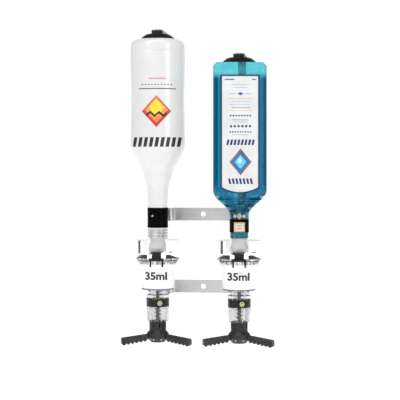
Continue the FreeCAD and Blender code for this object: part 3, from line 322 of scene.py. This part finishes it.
def hub_black():
    """Satin black, pale inside the crown, where light from the clear skirt falls."""
    material, tree, shader, place = node_material("hub_black")
    mottle = noise(tree, place, 60.0)
    plain = ramp(tree, mottle, [(0.3, (0.01, 0.01, 0.011)), (0.7, (0.026, 0.026, 0.028))])
    pale = ramp(tree, mottle, [(0.3, (0.45, 0.45, 0.46)), (0.7, (0.6, 0.6, 0.6))])
    reaches = []
    for side in SIDES:
        flat = tree.nodes.new("ShaderNodeVectorMath")
        flat.operation = "MULTIPLY"
        flat.inputs[1].default_value = (1.0, 1.0, 0.0)
        tree.links.new(place, flat.inputs[0])
        reach = tree.nodes.new("ShaderNodeVectorMath")
        reach.operation = "DISTANCE"
        centre = station_axis(side)
        reach.inputs[1].default_value = (centre.x, centre.y, 0.0)
        tree.links.new(flat.outputs["Vector"], reach.inputs[0])
        reaches.append(reach.outputs["Value"])
    nearest = arithmetic(tree, "MINIMUM", *reaches)
    within = over_range(tree, nearest, CROWN_BORE + 0.1 * MM, CROWN_BORE - 0.1 * MM)
    height = along_axis(tree, place, (0, 0, 1), 0.0)
    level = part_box("left_hub")[1].z - CROWN_SLOT_FOOT
    above = over_range(tree, height, level, level + 0.4 * MM)
    factor = arithmetic(tree, "MULTIPLY", within, above)
    tree.links.new(mixed(tree, factor, plain, pale), shader.inputs["Base Color"])
    tree.links.new(spread(tree, mottle, 0.26, 0.34), shader.inputs["Roughness"])
    shader.inputs["Specular IOR Level"].default_value = 0.36
    bump(tree, shader, noise(tree, place, 1400.0, 2.0), 0.25, 0.00001)
    return material


def blue_glass():
    """Clear blue, with painted shade along the sides and painted light at the foot and the shoulder,
    standing in for the refraction of the solid glass.
    """
    material, tree, shader, place = node_material("blue_glass")
    axis = (math.cos(LABEL_TURN), math.sin(LABEL_TURN), 0.0)
    centre = station_axis("right")
    low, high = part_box("right_bottle")
    reach = (high.x - low.x) / 2
    side = along_axis(tree, place, axis, centre.x * axis[0] + centre.y * axis[1])
    across = ramp(tree, over_range(tree, arithmetic(tree, "ABSOLUTE", side), 0.0, reach), [
        (0.0, (0.005, 0.24, 0.38)), (0.66, (0.005, 0.2, 0.34)), (0.74, (0.016, 0.29, 0.43)),
        (0.79, (0.0, 0.042, 0.12)), (0.9, (0.0, 0.07, 0.18)), (0.96, (0.016, 0.3, 0.44)),
    ])
    bright = ramp(tree, noise(tree, place, 40.0), [(0.3, (0.06, 0.52, 0.62)), (0.7, (0.2, 0.74, 0.8))])
    height = along_axis(tree, place, (0, 0, 1), 0.0)
    foot = over_range(tree, height, high.z - 22 * MM, high.z - 14 * MM)
    flow = noise(tree, scaled(tree, place, (90.0, 90.0, 40.0)), 1.0, 3.0)
    lower = ramp(tree, flow, [
        (0.38, (0.0, 0.07, 0.18)), (0.52, (0.003, 0.25, 0.42)), (0.68, (0.09, 0.64, 0.76)),
    ])
    shoulder = over_range(tree, height, low.z + 74 * MM, low.z + 62 * MM)
    body = mixed(tree, shoulder, across, lower)
    tree.links.new(mixed(tree, foot, body, bright), shader.inputs["Base Color"])
    tree.links.new(spread(tree, flow, 0.02, 0.06), shader.inputs["Roughness"])
    shader.inputs["Transmission Weight"].default_value = 0.8
    shader.inputs["IOR"].default_value = 1.3
    bump(tree, shader, flow, 0.05, 0.00003)
    return material


STRIP_STEEL = brushed("strip_steel", (0.62, 0.62, 0.63), (0.78, 0.78, 0.79), 0.34)
# The upper strip carries painted shade towards its left end.
UPPER_STEEL = brushed("upper_steel", (0.74, 0.74, 0.73), (0.9, 0.9, 0.89), 0.34, left_shade=0.86)
SECTION_STEEL = brushed(
    "section_steel", (0.45, 0.46, 0.47), (0.6, 0.6, 0.61), 0.38, (900.0, 900.0, 18.0),
)
BRIGHT_STEEL = brushed("bright_steel", (0.6, 0.6, 0.62), (0.75, 0.75, 0.77), 0.25, (900.0, 900.0, 25.0))
SPRING_STEEL = brushed("spring_steel", (0.3, 0.3, 0.31), (0.5, 0.5, 0.52), 0.3, (400.0, 400.0, 400.0))
ROD_STEEL = brushed("rod_steel", (0.03, 0.03, 0.034), (0.11, 0.11, 0.118), 0.35, (900.0, 900.0, 60.0))
COIL_STEEL = brushed("coil_steel", (0.04, 0.04, 0.043), (0.15, 0.15, 0.16), 0.35, (400.0, 400.0, 400.0))
# Dark steel for the catch: its dark tone is painted shade, set where the holder's wall lies in shade.
DARK_STEEL = brushed("dark_steel", (0.12, 0.12, 0.125), (0.2, 0.2, 0.21), 0.4, (900.0, 900.0, 25.0))
# The white plastic has a painted glow: an emission that lightens it though it is no lamp.
WHITE_PLASTIC = moulded("white_plastic", (0.84, 0.84, 0.84), (0.9, 0.9, 0.9), 0.4, 0.05, glow=0.3)
BLACK_PLASTIC = moulded(
    "black_plastic", (0.01, 0.01, 0.011), (0.026, 0.026, 0.028), 0.3, 0.0, 1400.0, 0.00001, 0.45,
)
DOME_BLACK = moulded("dome_black", (0.003, 0.003, 0.004), (0.008, 0.008, 0.009), 0.3, specular=0.14)
GLOSS_BLACK = moulded(
    "gloss_black", (0.004, 0.004, 0.005), (0.01, 0.01, 0.011), 0.14, 0.15, specular=0.25,
)
BLACK_RUBBER = moulded("black_rubber", (0.012, 0.012, 0.012), (0.03, 0.03, 0.03), 0.7)
# The grey stopper has a faint painted glow.
GREY_STOPPER = moulded("grey_stopper", (0.55, 0.55, 0.55), (0.63, 0.63, 0.63), 0.6, glow=0.03)
SLEEVE_BLACK = moulded(
    "sleeve_black", (0.001, 0.001, 0.001), (0.003, 0.003, 0.003), 0.35, 0.0, 500.0, 0.00006, 0.03,
)
SKIRT_CLEAR = clear_plastic(
    "skirt_clear", (0.62, 0.63, 0.64), (0.98, 0.98, 0.98), 0.03, 0.95, 1.12, (420.0, 420.0, 6.0),
)
CLEAR = clear_plastic("clear_plastic", (0.7, 0.71, 0.72), (0.97, 0.97, 0.98), 0.04, 0.93, 1.22)
# Painted highlight and shade streaks for the clear zones of the round bottle's neck, the cup and the
# lid.
STREAK_STOPS = [(0.3, (0.02, 0.02, 0.02)), (0.45, (0.16, 0.16, 0.16)), (0.6, (0.48, 0.48, 0.48))]
CUP_STOPS = [(0.36, (0.1, 0.1, 0.11)), (0.5, (0.42, 0.43, 0.44)), (0.62, (0.9, 0.9, 0.9))]
# The round bottle has a painted glow for light passing through its white glass, and painted streaks on
# its clear neck below the sleeve.
WHITE_GLASS = zoned(
    "white_glass", (0.43, 0.43, 0.435), (0.46, 0.46, 0.465),
    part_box("left_neck_sleeve")[0].z - 1 * MM, 3 * MM, STREAK_STOPS, 0.25, 0.15, False, 0.3,
)
# The cup's top has painted highlight and shade streaks for what is seen through its clear top.
CUP_PLASTIC = zoned(
    "cup_plastic", (0.86, 0.87, 0.88), (0.93, 0.93, 0.94),
    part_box("left_cup")[1].z - 5.2 * MM, 0.8 * MM, CUP_STOPS, 0.3, 0.15, True, 0.0,
)
BLUE_GLASS = blue_glass()
LID_BLACK = lid_black()
HUB_BLACK = hub_black()

NECK_GLASS = clear_plastic("neck_glass", (0.55, 0.56, 0.55), (0.9, 0.9, 0.9), 0.12, 0.5)
BLACK_INK = moulded("black_ink", (0.01, 0.01, 0.012), (0.025, 0.025, 0.027), 0.45)
DARK_INK = moulded("dark_ink", (0.02, 0.02, 0.022), (0.04, 0.04, 0.042), 0.5)
GREY_INK = moulded("grey_ink", (0.28, 0.3, 0.32), (0.42, 0.44, 0.46), 0.5)
MID_GREY = moulded("mid_grey", (0.12, 0.13, 0.13), (0.22, 0.23, 0.23), 0.5)
FAINT_GREY = moulded("faint_grey", (0.55, 0.56, 0.57), (0.66, 0.67, 0.68), 0.4)
RED_INK = moulded("red_ink", (0.5, 0.03, 0.03), (0.68, 0.06, 0.05), 0.4)
ORANGE_INK = moulded("orange_ink", (0.85, 0.2, 0.05), (0.95, 0.32, 0.1), 0.4)
YELLOW_INK = moulded("yellow_ink", (0.9, 0.58, 0.03), (0.98, 0.72, 0.08), 0.4)
NAVY_INK = moulded("navy_ink", (0.008, 0.02, 0.09), (0.015, 0.035, 0.14), 0.4)
BLUE_INK = moulded("blue_ink", (0.01, 0.09, 0.3), (0.03, 0.18, 0.45), 0.4)
SKY_INK = moulded("sky_ink", (0.06, 0.4, 0.72), (0.16, 0.6, 0.85), 0.35)
PALE_INK = moulded("pale_ink", (0.5, 0.78, 0.9), (0.65, 0.88, 0.95), 0.35)
GOLD_INK = moulded("gold_ink", (0.6, 0.36, 0.13), (0.76, 0.52, 0.24), 0.38)
PALE_GOLD = moulded("pale_gold", (0.7, 0.6, 0.25), (0.82, 0.72, 0.38), 0.38)
BRONZE_INK = moulded("bronze_ink", (0.22, 0.1, 0.04), (0.34, 0.18, 0.08), 0.4)
LABEL_PAPER = moulded("label_paper", (0.63, 0.64, 0.642), (0.7, 0.708, 0.71), 0.5)

NODE_MATERIALS = {
    "upper_wall_strip": UPPER_STEEL,
    "lower_wall_strip": STRIP_STEEL,
    "rail": SECTION_STEEL,
    "holder": WHITE_PLASTIC,
    "holder_screws": BRIGHT_STEEL,
    # The catch's dark steel is painted shade on the holder's wall.
    "catch": DARK_STEEL,
    "spring_anchor": SECTION_STEEL,
    "mast": BRIGHT_STEEL,
    "top_arm": BLACK_PLASTIC,
    "dome_pad": DOME_BLACK,
    "rubber_face": BLACK_RUBBER,
    "pad_screw": BRIGHT_STEEL,
    "mast_hook": SECTION_STEEL,
    "mast_spring": SPRING_STEEL,
    "neck_sleeve": SLEEVE_BLACK,
    "stopper": GREY_STOPPER,
    "breather_tube": CLEAR,
    "lid": LID_BLACK,
    "valve_housing": WHITE_PLASTIC,
    "gasket": BLACK_RUBBER,
    "cup": CUP_PLASTIC,
    "outlet": CLEAR,
    "band": GLOSS_BLACK,
    "skirt": SKIRT_CLEAR,
    "hub": HUB_BLACK,
    "spindle": ROD_STEEL,
    "valve_seals": BLACK_RUBBER,
    "return_spring": SPRING_STEEL,
}


def dress(node, material):
    """Gives a CAD node its one material."""
    node.data.materials.clear()
    node.data.materials.append(material)


for node_name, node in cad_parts.items():
    short = node_name.removeprefix("left_").removeprefix("right_")
    if short in NODE_MATERIALS:
        dress(node, NODE_MATERIALS[short])
dress(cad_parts["left_bottle"], WHITE_GLASS)
dress(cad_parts["right_bottle"], BLUE_GLASS)


# Forms

def flat_form(polygons):
    """A flat bmesh of polygons given in millimetres."""
    form = bmesh.new()
    for polygon in polygons:
        form.faces.new([form.verts.new((u * MM, v * MM, 0.0)) for u, v in polygon])
    return form


def text_form(text, height, weight, widen):
    """Letters as a flat bmesh, centred, with capitals of a given height in millimetres."""
    curve = bpy.data.curves.new("letters", "FONT")
    curve.body = text
    curve.align_x = "CENTER"
    curve.align_y = "CENTER"
    curve.size = 1.0
    curve.offset = weight
    letters = bpy.data.objects.new("letters", curve)
    form = bmesh.new()
    form.from_mesh(letters.to_mesh())
    letters.to_mesh_clear()
    bpy.data.objects.remove(letters)
    low = min(vert.co.y for vert in form.verts)
    high = max(vert.co.y for vert in form.verts)
    grow = height * MM / (high - low)
    middle = (low + high) / 2
    for vert in form.verts:
        vert.co = Vector((vert.co.x * grow * widen, (vert.co.y - middle) * grow, 0.0))
    return form


def box_polygon(left, low, right, high):
    """A rectangle as corners."""
    return [(left, low), (right, low), (right, high), (left, high)]


def oval(u, v, wide, tall, count=48, start=0.0, end=360.0):
    """Points along an oval or a part of it."""
    points = []
    spaces = count if end - start >= 360 else count - 1
    for step in range(count):
        angle = math.radians(start + (end - start) * step / spaces)
        points.append((u + wide * math.cos(angle), v + tall * math.sin(angle)))
    return points


def lozenge(u, v, wide, tall):
    """An upright lozenge."""
    return [(u, v - tall), (u + wide, v), (u, v + tall), (u - wide, v)]


def leaning_blocks(u, v, pitch, wide, tall, lean, count):
    """A straight row of leaning blocks."""
    blocks = []
    for step in range(count):
        left = u + pitch * (step - (count - 1) / 2) - wide / 2 - lean / 2
        right = left + wide
        blocks.append([(left, v), (right, v), (right + lean, v + tall), (left + lean, v + tall)])
    return blocks


def slice_form(form, pitch):
    """Cuts a flat form into narrow strips, so that it can follow a curved face."""
    for axis, step in ((0, pitch), (1, pitch * 2)):
        low = min(vert.co[axis] for vert in form.verts)
        high = max(vert.co[axis] for vert in form.verts)
        normal = Vector((1, 0, 0)) if axis == 0 else Vector((0, 1, 0))
        place = low + step * MM
        while place < high:
            everything = list(form.verts) + list(form.edges) + list(form.faces)
            bmesh.ops.bisect_plane(form, geom=everything, plane_co=normal * place, plane_no=normal)
            place += step * MM


def surface(*names):
    """The joined faces of CAD nodes, to lay prints on."""
    points = []
    faces = []
    for name in names:
        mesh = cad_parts[name].data
        base = len(points)
        points += [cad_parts[name].matrix_world @ vert.co for vert in mesh.vertices]
        faces += [[base + index for index in face.vertices] for face in mesh.polygons]
    return BVHTree.FromPolygons(points, faces)


def lay(name, form, tree, side, turn, height, material, body, lift=0.05, skin=0.06, pitch=1.5):
    """Lays a flat form on the front of a station, height in millimetres above the frame's origin."""
    slice_form(form, pitch)
    axis = station_axis(side)
    across = Vector((math.cos(turn), math.sin(turn), 0.0))
    front = Vector((math.sin(turn), -math.cos(turn), 0.0))
    lost = []
    for vert in form.verts:
        target = Vector((axis.x, axis.y, height * MM + vert.co.y)) + across * vert.co.x
        spot, normal = tree.ray_cast(target + front * 0.2, -front)[:2]
        if spot is None:
            lost.append(vert)
            continue
        if normal.dot(front) < 0:
            normal = -normal
        vert.co = spot + normal * lift * MM
    bmesh.ops.delete(form, geom=lost, context="VERTS")
    bmesh.ops.recalc_face_normals(form, faces=form.faces)
    for face in form.faces:
        if face.normal.dot(front) < 0:
            face.normal_flip()
    piece = finish(name, form, material, body)
    thicken = piece.modifiers.new("thicken", "SOLIDIFY")
    thicken.thickness = skin * MM
    thicken.offset = -1.0
    return piece


def finish(name, form, material, body):
    """Turns a bmesh into a piece of the scene that rides a body."""
    mesh = bpy.data.meshes.new(name)
    form.to_mesh(mesh)
    form.free()
    for face in mesh.polygons:
        face.use_smooth = True
    mesh.materials.append(material)
    piece = bpy.data.objects.new(name, mesh)
    bpy.context.scene.collection.objects.link(piece)
    if body:
        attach(piece, body)
    return piece


def turned(profile, centre, steps=96):
    """A closed section turned about an upright axis, from radius and level pairs in metres."""
    form = bmesh.new()
    rings = []
    for radius, level in profile:
        rings.append([
            form.verts.new((
                centre.x + radius * math.cos(math.tau * step / steps),
                centre.y + radius * math.sin(math.tau * step / steps), level,
            )) for step in range(steps)
        ])
    for low, high in zip(rings, rings[1:] + rings[:1]):
        for step in range(steps):
            after = (step + 1) % steps
            form.faces.new((low[step], low[after], high[after], high[step]))
    bmesh.ops.recalc_face_normals(form, faces=form.faces)
    return form


def ring_profile(radius, level, thick, tall):
    """The rounded section of a thin ring."""
    return [
        (radius + thick * math.cos(math.tau * step / 12), level + tall * math.sin(math.tau * step / 12))
        for step in range(12)
    ]


def coil(name, node, turns, material):
    """A spring drawn over a CAD spring."""
    low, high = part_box(node)
    centre = (low + high) / 2
    outer = (high.x - low.x) / 2
    wire = outer * WIRE_SHARE
    middle = outer - wire
    bottom = low.z + wire
    rise = high.z - low.z - wire * 2
    steps = turns * 40
    form = bmesh.new()
    rings = []
    for step in range(steps + 1):
        angle = math.tau * turns * step / steps
        heart = Vector((
            centre.x + middle * math.cos(angle), centre.y + middle * math.sin(angle),
            bottom + rise * step / steps,
        ))
        out = Vector((math.cos(angle), math.sin(angle), 0.0))
        rings.append([
            form.verts.new(heart + out * wire * math.cos(part) + Vector((0, 0, wire * math.sin(part))))
            for part in (math.tau * index / 10 for index in range(10))
        ])
    for near, far in zip(rings, rings[1:]):
        for index in range(10):
            after = (index + 1) % 10
            form.faces.new((near[index], near[after], far[after], far[index]))
    form.faces.new(rings[0])
    form.faces.new(rings[-1])
    bmesh.ops.recalc_face_normals(form, faces=form.faces)
    piece = finish(name, form, material, None)
    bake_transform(piece)
    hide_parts(node)


# Square bottle in solid clear blue

def outer_rings(node):
    """The outside sections of a lofted node, as level and points."""
    levels = {}
    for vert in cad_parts[node].data.vertices:
        levels.setdefault(round(vert.co.z, 4), []).append(vert.co.copy())
    sections = []
    for level in sorted(levels):
        points = levels[level]
        if len(points) < 16:
            continue
        reach = max(point.x for point in points) - min(point.x for point in points)
        sections.append((level, reach, points))
    kept = []
    for index, (level, reach, points) in enumerate(sections):
        below = max([section[1] for section in sections[:index]], default=0.0)
        above = max([section[1] for section in sections[index + 1:]], default=0.0)
        if reach > min(below, above) - 0.5 * MM:
            kept.append((level, points))
    return kept


def section_reach(points, centre, count):
    """The outline of a section as points at even angles about its centre."""
    flat = [(point.x - centre.x, point.y - centre.y) for point in points]
    hull = []
    for sweep in (1, -1):
        start = len(hull)
        for point in sorted(set(flat), reverse=sweep < 0):
            while len(hull) >= start + 2:
                (ax, ay), (bx, by) = hull[-2], hull[-1]
                if (bx - ax) * (point[1] - ay) - (by - ay) * (point[0] - ax) > 1e-12:
                    break
                hull.pop()
            hull.append(point)
        hull.pop()
    outline = []
    for step in range(count):
        angle = math.tau * step / count
        dx, dy = math.cos(angle), math.sin(angle)
        best = 0.0
        for (ax, ay), (bx, by) in zip(hull, hull[1:] + hull[:1]):
            ex, ey = bx - ax, by - ay
            cross = dx * ey - dy * ex
            if abs(cross) < 1e-12:
                continue
            along = (ax * ey - ay * ex) / cross
            part = (ax * dy - ay * dx) / cross
            if along > 0 and -1e-6 <= part <= 1 + 1e-6:
                best = max(best, along)
        outline.append((best * dx, best * dy))
    return outline


def blue_bottle():
    """The square bottle as one clear solid."""
    node = "right_bottle"
    centre = station_axis("right")
    form = bmesh.new()
    count = 144
    rings = []
    for level, points in outer_rings(node):
        outline = section_reach(points, centre, count)
        rings.append([form.verts.new((centre.x + x, centre.y + y, level)) for x, y in outline])
    for low, high in zip(rings, rings[1:]):
        for step in range(count):
            after = (step + 1) % count
            form.faces.new((low[step], low[after], high[after], high[step]))
    form.faces.new(rings[0])
    form.faces.new(rings[-1])
    bmesh.ops.recalc_face_normals(form, faces=form.faces)
    piece = finish("right_bottle_glass", form, BLUE_GLASS, "right_bottle_set")
    bevel = piece.modifiers.new("soften", "BEVEL")
    bevel.width = 1.6 * MM
    bevel.segments = 3
    bevel.limit_method = "ANGLE"
    bevel.angle_limit = math.radians(16)
    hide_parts(node)


blue_bottle()


# Prints on the round bottle

ROUND_FACE = surface("left_bottle")
SQUARE_FACE = surface("right_bottle")


def ink_left(name, polygons, height, material, lift=0.05):
    """A print on the round bottle."""
    lay(
        "print_" + name, flat_form(polygons), ROUND_FACE, "left", VIEW_YAW, height, material,
        "left_bottle_set", lift,
    )


def round_prints():
    """A nested lozenge in warm colours, rules, dots and a straight row of leaning blocks."""
    sweep = oval(0, 0, 20, 4.6, 24, 195, 345)
    ink_left("base_arc", [sweep + [(u, v + 0.8) for u, v in reversed(sweep)]], 284, FAINT_GREY, 0.03)
    ink_left("red_rule", [box_polygon(-11, -0.5, 13, 0.5)], 241, RED_INK)
    dots = [lozenge(-20 + 4.4 * step, 0, 1.4, 0.9) for step in range(10)]
    ink_left("dot_row", dots, 232.6, BLACK_INK)
    ink_left("black_rule", [box_polygon(-25, -0.6, 26, 0.6)], 227, BLACK_INK)
    middle = 196
    ink_left("lozenge_red", [lozenge(-0.6, 0, 20, 22)], middle, RED_INK, 0.04)
    ink_left("lozenge_orange", [lozenge(-0.6, 2, 16, 18)], middle, ORANGE_INK, 0.10)
    ink_left("lozenge_yellow", [lozenge(-0.6, 5, 11, 12)], middle, YELLOW_INK, 0.16)
    wave = [(-15, -7), (-9, -3), (-3, -8), (3, -3), (9, -8), (14, -4)]
    band = [[a, b, (b[0], b[1] + 3.4), (a[0], a[1] + 3.4)] for a, b in zip(wave, wave[1:])]
    ink_left("lozenge_wave", band, middle, BLACK_INK, 0.22)
    ink_left("block_row", leaning_blocks(0, 0, 7.6, 4.6, 13.0, 2.4, 9), 147.5, BLACK_INK, 0.2)


def sleeve_mark():
    """A small bronze lozenge on the neck sleeve of the round bottle."""
    tree = surface("left_neck_sleeve")
    for tag, size, material, lift in (("edge", 2.4, BRONZE_INK, 0.04), ("heart", 1.1, GOLD_INK, 0.1)):
        lay("sleeve_mark_" + tag, flat_form([lozenge(-7.0, 0, size, size * 0.8)]), tree, "left",
            VIEW_YAW, 52.0, material, "left_bottle_set", lift, pitch=0.8)


def round_finish():
    """Moulded thread lines on the neck under the sleeve."""
    centre = station_axis("left")
    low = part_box("left_bottle")[0].z
    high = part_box("left_neck_sleeve")[0].z
    for index, part in enumerate((0.2, 0.48, 0.76)):
        level = low + (high - low) * part
        form = turned(ring_profile(NECK_RADIUS, level, 0.5 * MM, 0.9 * MM), centre)
        finish("neck_thread_%d" % index, form, NECK_GLASS, "left_bottle_set")


# Label and ornament of the square bottle

def ink_right(name, polygons, material, lift, tree=SQUARE_FACE, pitch=2.5):
    """A print on the square bottle or on its sleeve."""
    lay(
        "label_" + name, flat_form(polygons), tree, "right", LABEL_TURN, 0.0, material,
        "right_bottle_set", lift, pitch=pitch,
    )


def label_outline(half, low, high, rise):
    """A panel with a bowed lower edge."""
    points = [(half, low + rise), (half, high), (-half, high), (-half, low + rise)]
    for step in range(1, 12):
        part = -1 + 2 * step / 12
        points.append((half * part, low + rise * part * part))
    return points


def square_label():
    """The pale panel with rules, rows of leaning blocks and a lozenge emblem, all in plain shapes."""
    ink_right("border", [label_outline(26.8, 83.2, 245.4, 7.0)], NAVY_INK, 0.04)
    ink_right("panel", [label_outline(24.6, 85.6, 243.4, 6.6)], LABEL_PAPER, 0.10)
    u = 0.6
    ink_right("corner_marks", [box_polygon(-21, 238, -8, 239.6), box_polygon(16, 238, 21.5, 239.6)],
              BLUE_INK, 0.16)
    ink_right("grey_rows", [
        box_polygon(u - 13, 231.4, u + 12, 232.2), box_polygon(u - 10, 227.6, u + 9, 228.4),
        box_polygon(u - 14, 204.6, u + 12, 205.4), box_polygon(u - 12, 199.8, u + 13, 201.4),
        box_polygon(u - 11, 183.2, u + 10, 184.4), box_polygon(u - 13, 208.4, u + 12, 209.0),
        box_polygon(u - 9, 180.6, u + 9, 181.2), box_polygon(u - 12, 163.0, u + 11, 163.8),
    ], GREY_INK, 0.16)
    ink_right("gold_rules", [
        box_polygon(u - 15, 212.6, u + 15, 213.3), box_polygon(u - 15, 196.2, u + 15, 196.9),
    ], GOLD_INK, 0.16)
    ink_right("blue_mark", [
        lozenge(u, 219.4, 4.4, 2.2), box_polygon(u - 15, 219.1, u - 7, 219.7),
        box_polygon(u + 7, 219.1, u + 15, 219.7),
    ], BLUE_INK, 0.16)
    rows = []
    for count, level, wide, tall in ((8, 189.6, 2.6, 2.4), (6, 175.2, 3.6, 3.6), (9, 167.4, 2.0, 2.0)):
        pitch = 31.0 / count
        rows += [
            lozenge(u + pitch * (step - (count - 1) / 2), level, wide / 2 + 0.3, tall / 2 + 0.3)
            for step in range(count)
        ]
    ink_right("navy_rows", rows, NAVY_INK, 0.16)
    blocks = leaning_blocks(u, 149.5, 4.9, 2.9, 7.6, 1.6, 8)
    blocks += leaning_blocks(u, 96.5, 4.9, 2.9, 7.6, -1.6, 7)
    ink_right("block_rows", blocks, NAVY_INK, 0.16)
    middle = 126.5
    ink_right("emblem_gold", [lozenge(u, middle, 15, 18.5)], BRONZE_INK, 0.16)
    ink_right("emblem_navy", [lozenge(u, middle, 13, 16)], BLUE_INK, 0.22)
    ink_right("emblem_sky", [lozenge(u, middle, 8, 10)], SKY_INK, 0.28)
    ink_right("emblem_light", [lozenge(u - 1, middle + 2, 3, 4.5)], PALE_INK, 0.34)


def neck_ornament():
    """A gold framed plaque under a row of three lozenges, on the neck of the square bottle."""
    tree = surface("right_bottle", "right_neck_sleeve")
    ink_right("neck_frame", [box_polygon(-7.6, 30, 7.6, 43.6)], GOLD_INK, 0.05, tree, 0.8)
    ink_right("neck_paper", [box_polygon(-5.6, 32, 5.6, 41.6)], LABEL_PAPER, 0.13, tree, 0.8)
    ink_right("neck_bars", [box_polygon(-3.4, 38.2, 3.4, 39.2), box_polygon(-3.4, 34.4, 3.4, 35.4)],
              BRONZE_INK, 0.21, tree, 0.8)
    row = [lozenge(-6.2, 52, 2.4, 3.0), lozenge(0, 52, 3.6, 4.6), lozenge(6.2, 52, 2.4, 3.0)]
    ink_right("neck_lozenges", row, GOLD_INK, 0.09, tree, 0.8)
    ink_right("neck_gem", [lozenge(0, 52, 1.9, 2.5)], SKY_INK, 0.2, tree, 0.8)


# Measures

def measure_marks(side):
    """The volume mark and the thin arc over it on a cup."""
    body = side + "_bottle_set"
    tree = surface(side + "_cup")
    low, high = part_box(side + "_cup")
    lay(side + "_volume_mark", text_form("35ml", 11.4, 0.042, 1.08), tree, side, MARK_TURN,
        (low.z + high.z) / 2 / MM - 0.2, DARK_INK, body, 0.05)
    arc = oval(0, 0, 9, 4.2, 16, 40, 140) + oval(0, -0.5, 8.6, 4.0, 16, 140, 40)
    lay(side + "_mark_arc", flat_form([arc]), tree, side, MARK_TURN,
        high.z / MM - 19.6, GREY_INK, body, 0.04)


def foot_line(side):
    """A thin grey ring round the foot of a cup, painted shade along its bottom edge."""
    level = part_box(side + "_cup")[0].z + 1.3 * MM
    form = turned(ring_profile(CUP_FOOT_RADIUS, level, 0.2 * MM, 0.9 * MM), station_axis(side))
    finish(side + "_foot_line", form, MID_GREY, side + "_bottle_set")


def band_disc(side):
    """A plain gold disc on the black band."""
    tree = surface(side + "_band")
    low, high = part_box(side + "_band")
    level = (low.z + high.z) / 2 / MM
    for tag, size, material, lift in (
        ("disc", 3.3, PALE_GOLD, 0.05), ("disc_ring", 2.1, DARK_INK, 0.10),
        ("disc_heart", 1.3, PALE_GOLD, 0.15),
    ):
        lay("%s_band_%s" % (side, tag), flat_form([oval(0, 0, size, size, 32)]), tree, side,
            DISC_TURN, level, material, side + "_bottle_set", lift)


def hub_pale_dots(side):
    """Two small pale dots low on the hub."""
    tree = surface(side + "_hub")
    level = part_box(side + "_hub")[0].z / MM + 7.4
    for tag, across in (("left", -5.2), ("right", 5.2)):
        lay("%s_hub_pale_dot_%s" % (side, tag), flat_form([oval(across, 0, 0.9, 0.9, 16)]), tree, side,
            VIEW_YAW, level, LABEL_PAPER, side + "_push_set", 0.05)


def holder_gap_shadow(side):
    """A painted shadow: a dark oval near the foot of a holder's front wall, where a gap lies in shade.
    """
    tree = surface(side + "_holder")
    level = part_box(side + "_holder")[0].z / MM + 8.2
    lay(side + "_holder_gap_shadow", flat_form([oval(19.0, 0, 3.0, 0.8, 24)]), tree, side, VIEW_YAW,
        level, DARK_INK, "bracket", 0.04)


round_prints()
sleeve_mark()
round_finish()
square_label()
neck_ornament()
for side in SIDES:
    measure_marks(side)
    foot_line(side)
    band_disc(side)
    hub_pale_dots(side)
    holder_gap_shadow(side)
    coil(side + "_pull_coil", side + "_mast_spring", PULL_TURNS,
         SPRING_STEEL)
    coil(side + "_push_coil", side + "_return_spring", PUSH_TURNS,
         COIL_STEEL)


# Studio

def soft_light(name, place, aim, size, power):
    """A square soft box."""
    data = bpy.data.lights.new(name, "AREA")
    data.shape = "RECTANGLE"
    data.size, data.size_y = size
    data.energy = power
    light = bpy.data.objects.new(name, data)
    light.location = place
    light.rotation_euler = (Vector(aim) - Vector(place)).to_track_quat("-Z", "Y").to_euler()
    bpy.context.scene.collection.objects.link(light)


def make_studio():
    """A pale floor, light from behind and three soft boxes."""
    mesh = bpy.data.meshes.new("floor")
    reach = 6.0
    level = CAD_BOX[0][2] - 0.25
    corners = [(x, y, level) for x, y in box_polygon(-reach, -reach, reach, reach)]
    mesh.from_pydata(corners, [], [(0, 1, 2, 3)])
    floor = bpy.data.objects.new("floor", mesh)
    bpy.context.scene.collection.objects.link(floor)
    mesh.materials.append(moulded("floor_paint", (0.9, 0.9, 0.9), (0.92, 0.92, 0.92), 0.9, glow=0.8))
    world = bpy.data.worlds.new("studio")
    world.use_nodes = True
    tree = world.node_tree
    place = tree.nodes.new("ShaderNodeTexCoord")
    parts = tree.nodes.new("ShaderNodeSeparateXYZ")
    tree.links.new(place.outputs["Generated"], parts.inputs["Vector"])
    light = ramp(tree, parts.outputs["Y"], [
        (0.0, (0.22, 0.22, 0.22)), (0.75, (0.3, 0.3, 0.3)), (0.93, (1.0, 1.0, 1.0)),
    ])
    seen = ramp(tree, parts.outputs["Z"], [(0.0, (1.0, 1.0, 1.0)), (1.0, (0.96, 0.96, 0.96))])
    path = tree.nodes.new("ShaderNodeLightPath")
    background = tree.nodes["Background"]
    tree.links.new(mixed(tree, path.outputs["Is Camera Ray"], light, seen), background.inputs["Color"])
    background.inputs["Strength"].default_value = 1.05
    bpy.context.scene.world = world
    bpy.context.scene.view_settings.view_transform = "Standard"
    soft_light("key", (-0.9, -1.4, 1.1), (0, 0, 0.1), (0.7, 0.9), 12.0)
    soft_light("fill", (1.3, -1.2, 0.5), (0, 0, 0.05), (0.5, 1.2), 9.0)
    soft_light("top", (0.0, -0.6, 1.4), (0, 0, 0.0), (1.6, 0.3), 8.0)


make_studio()
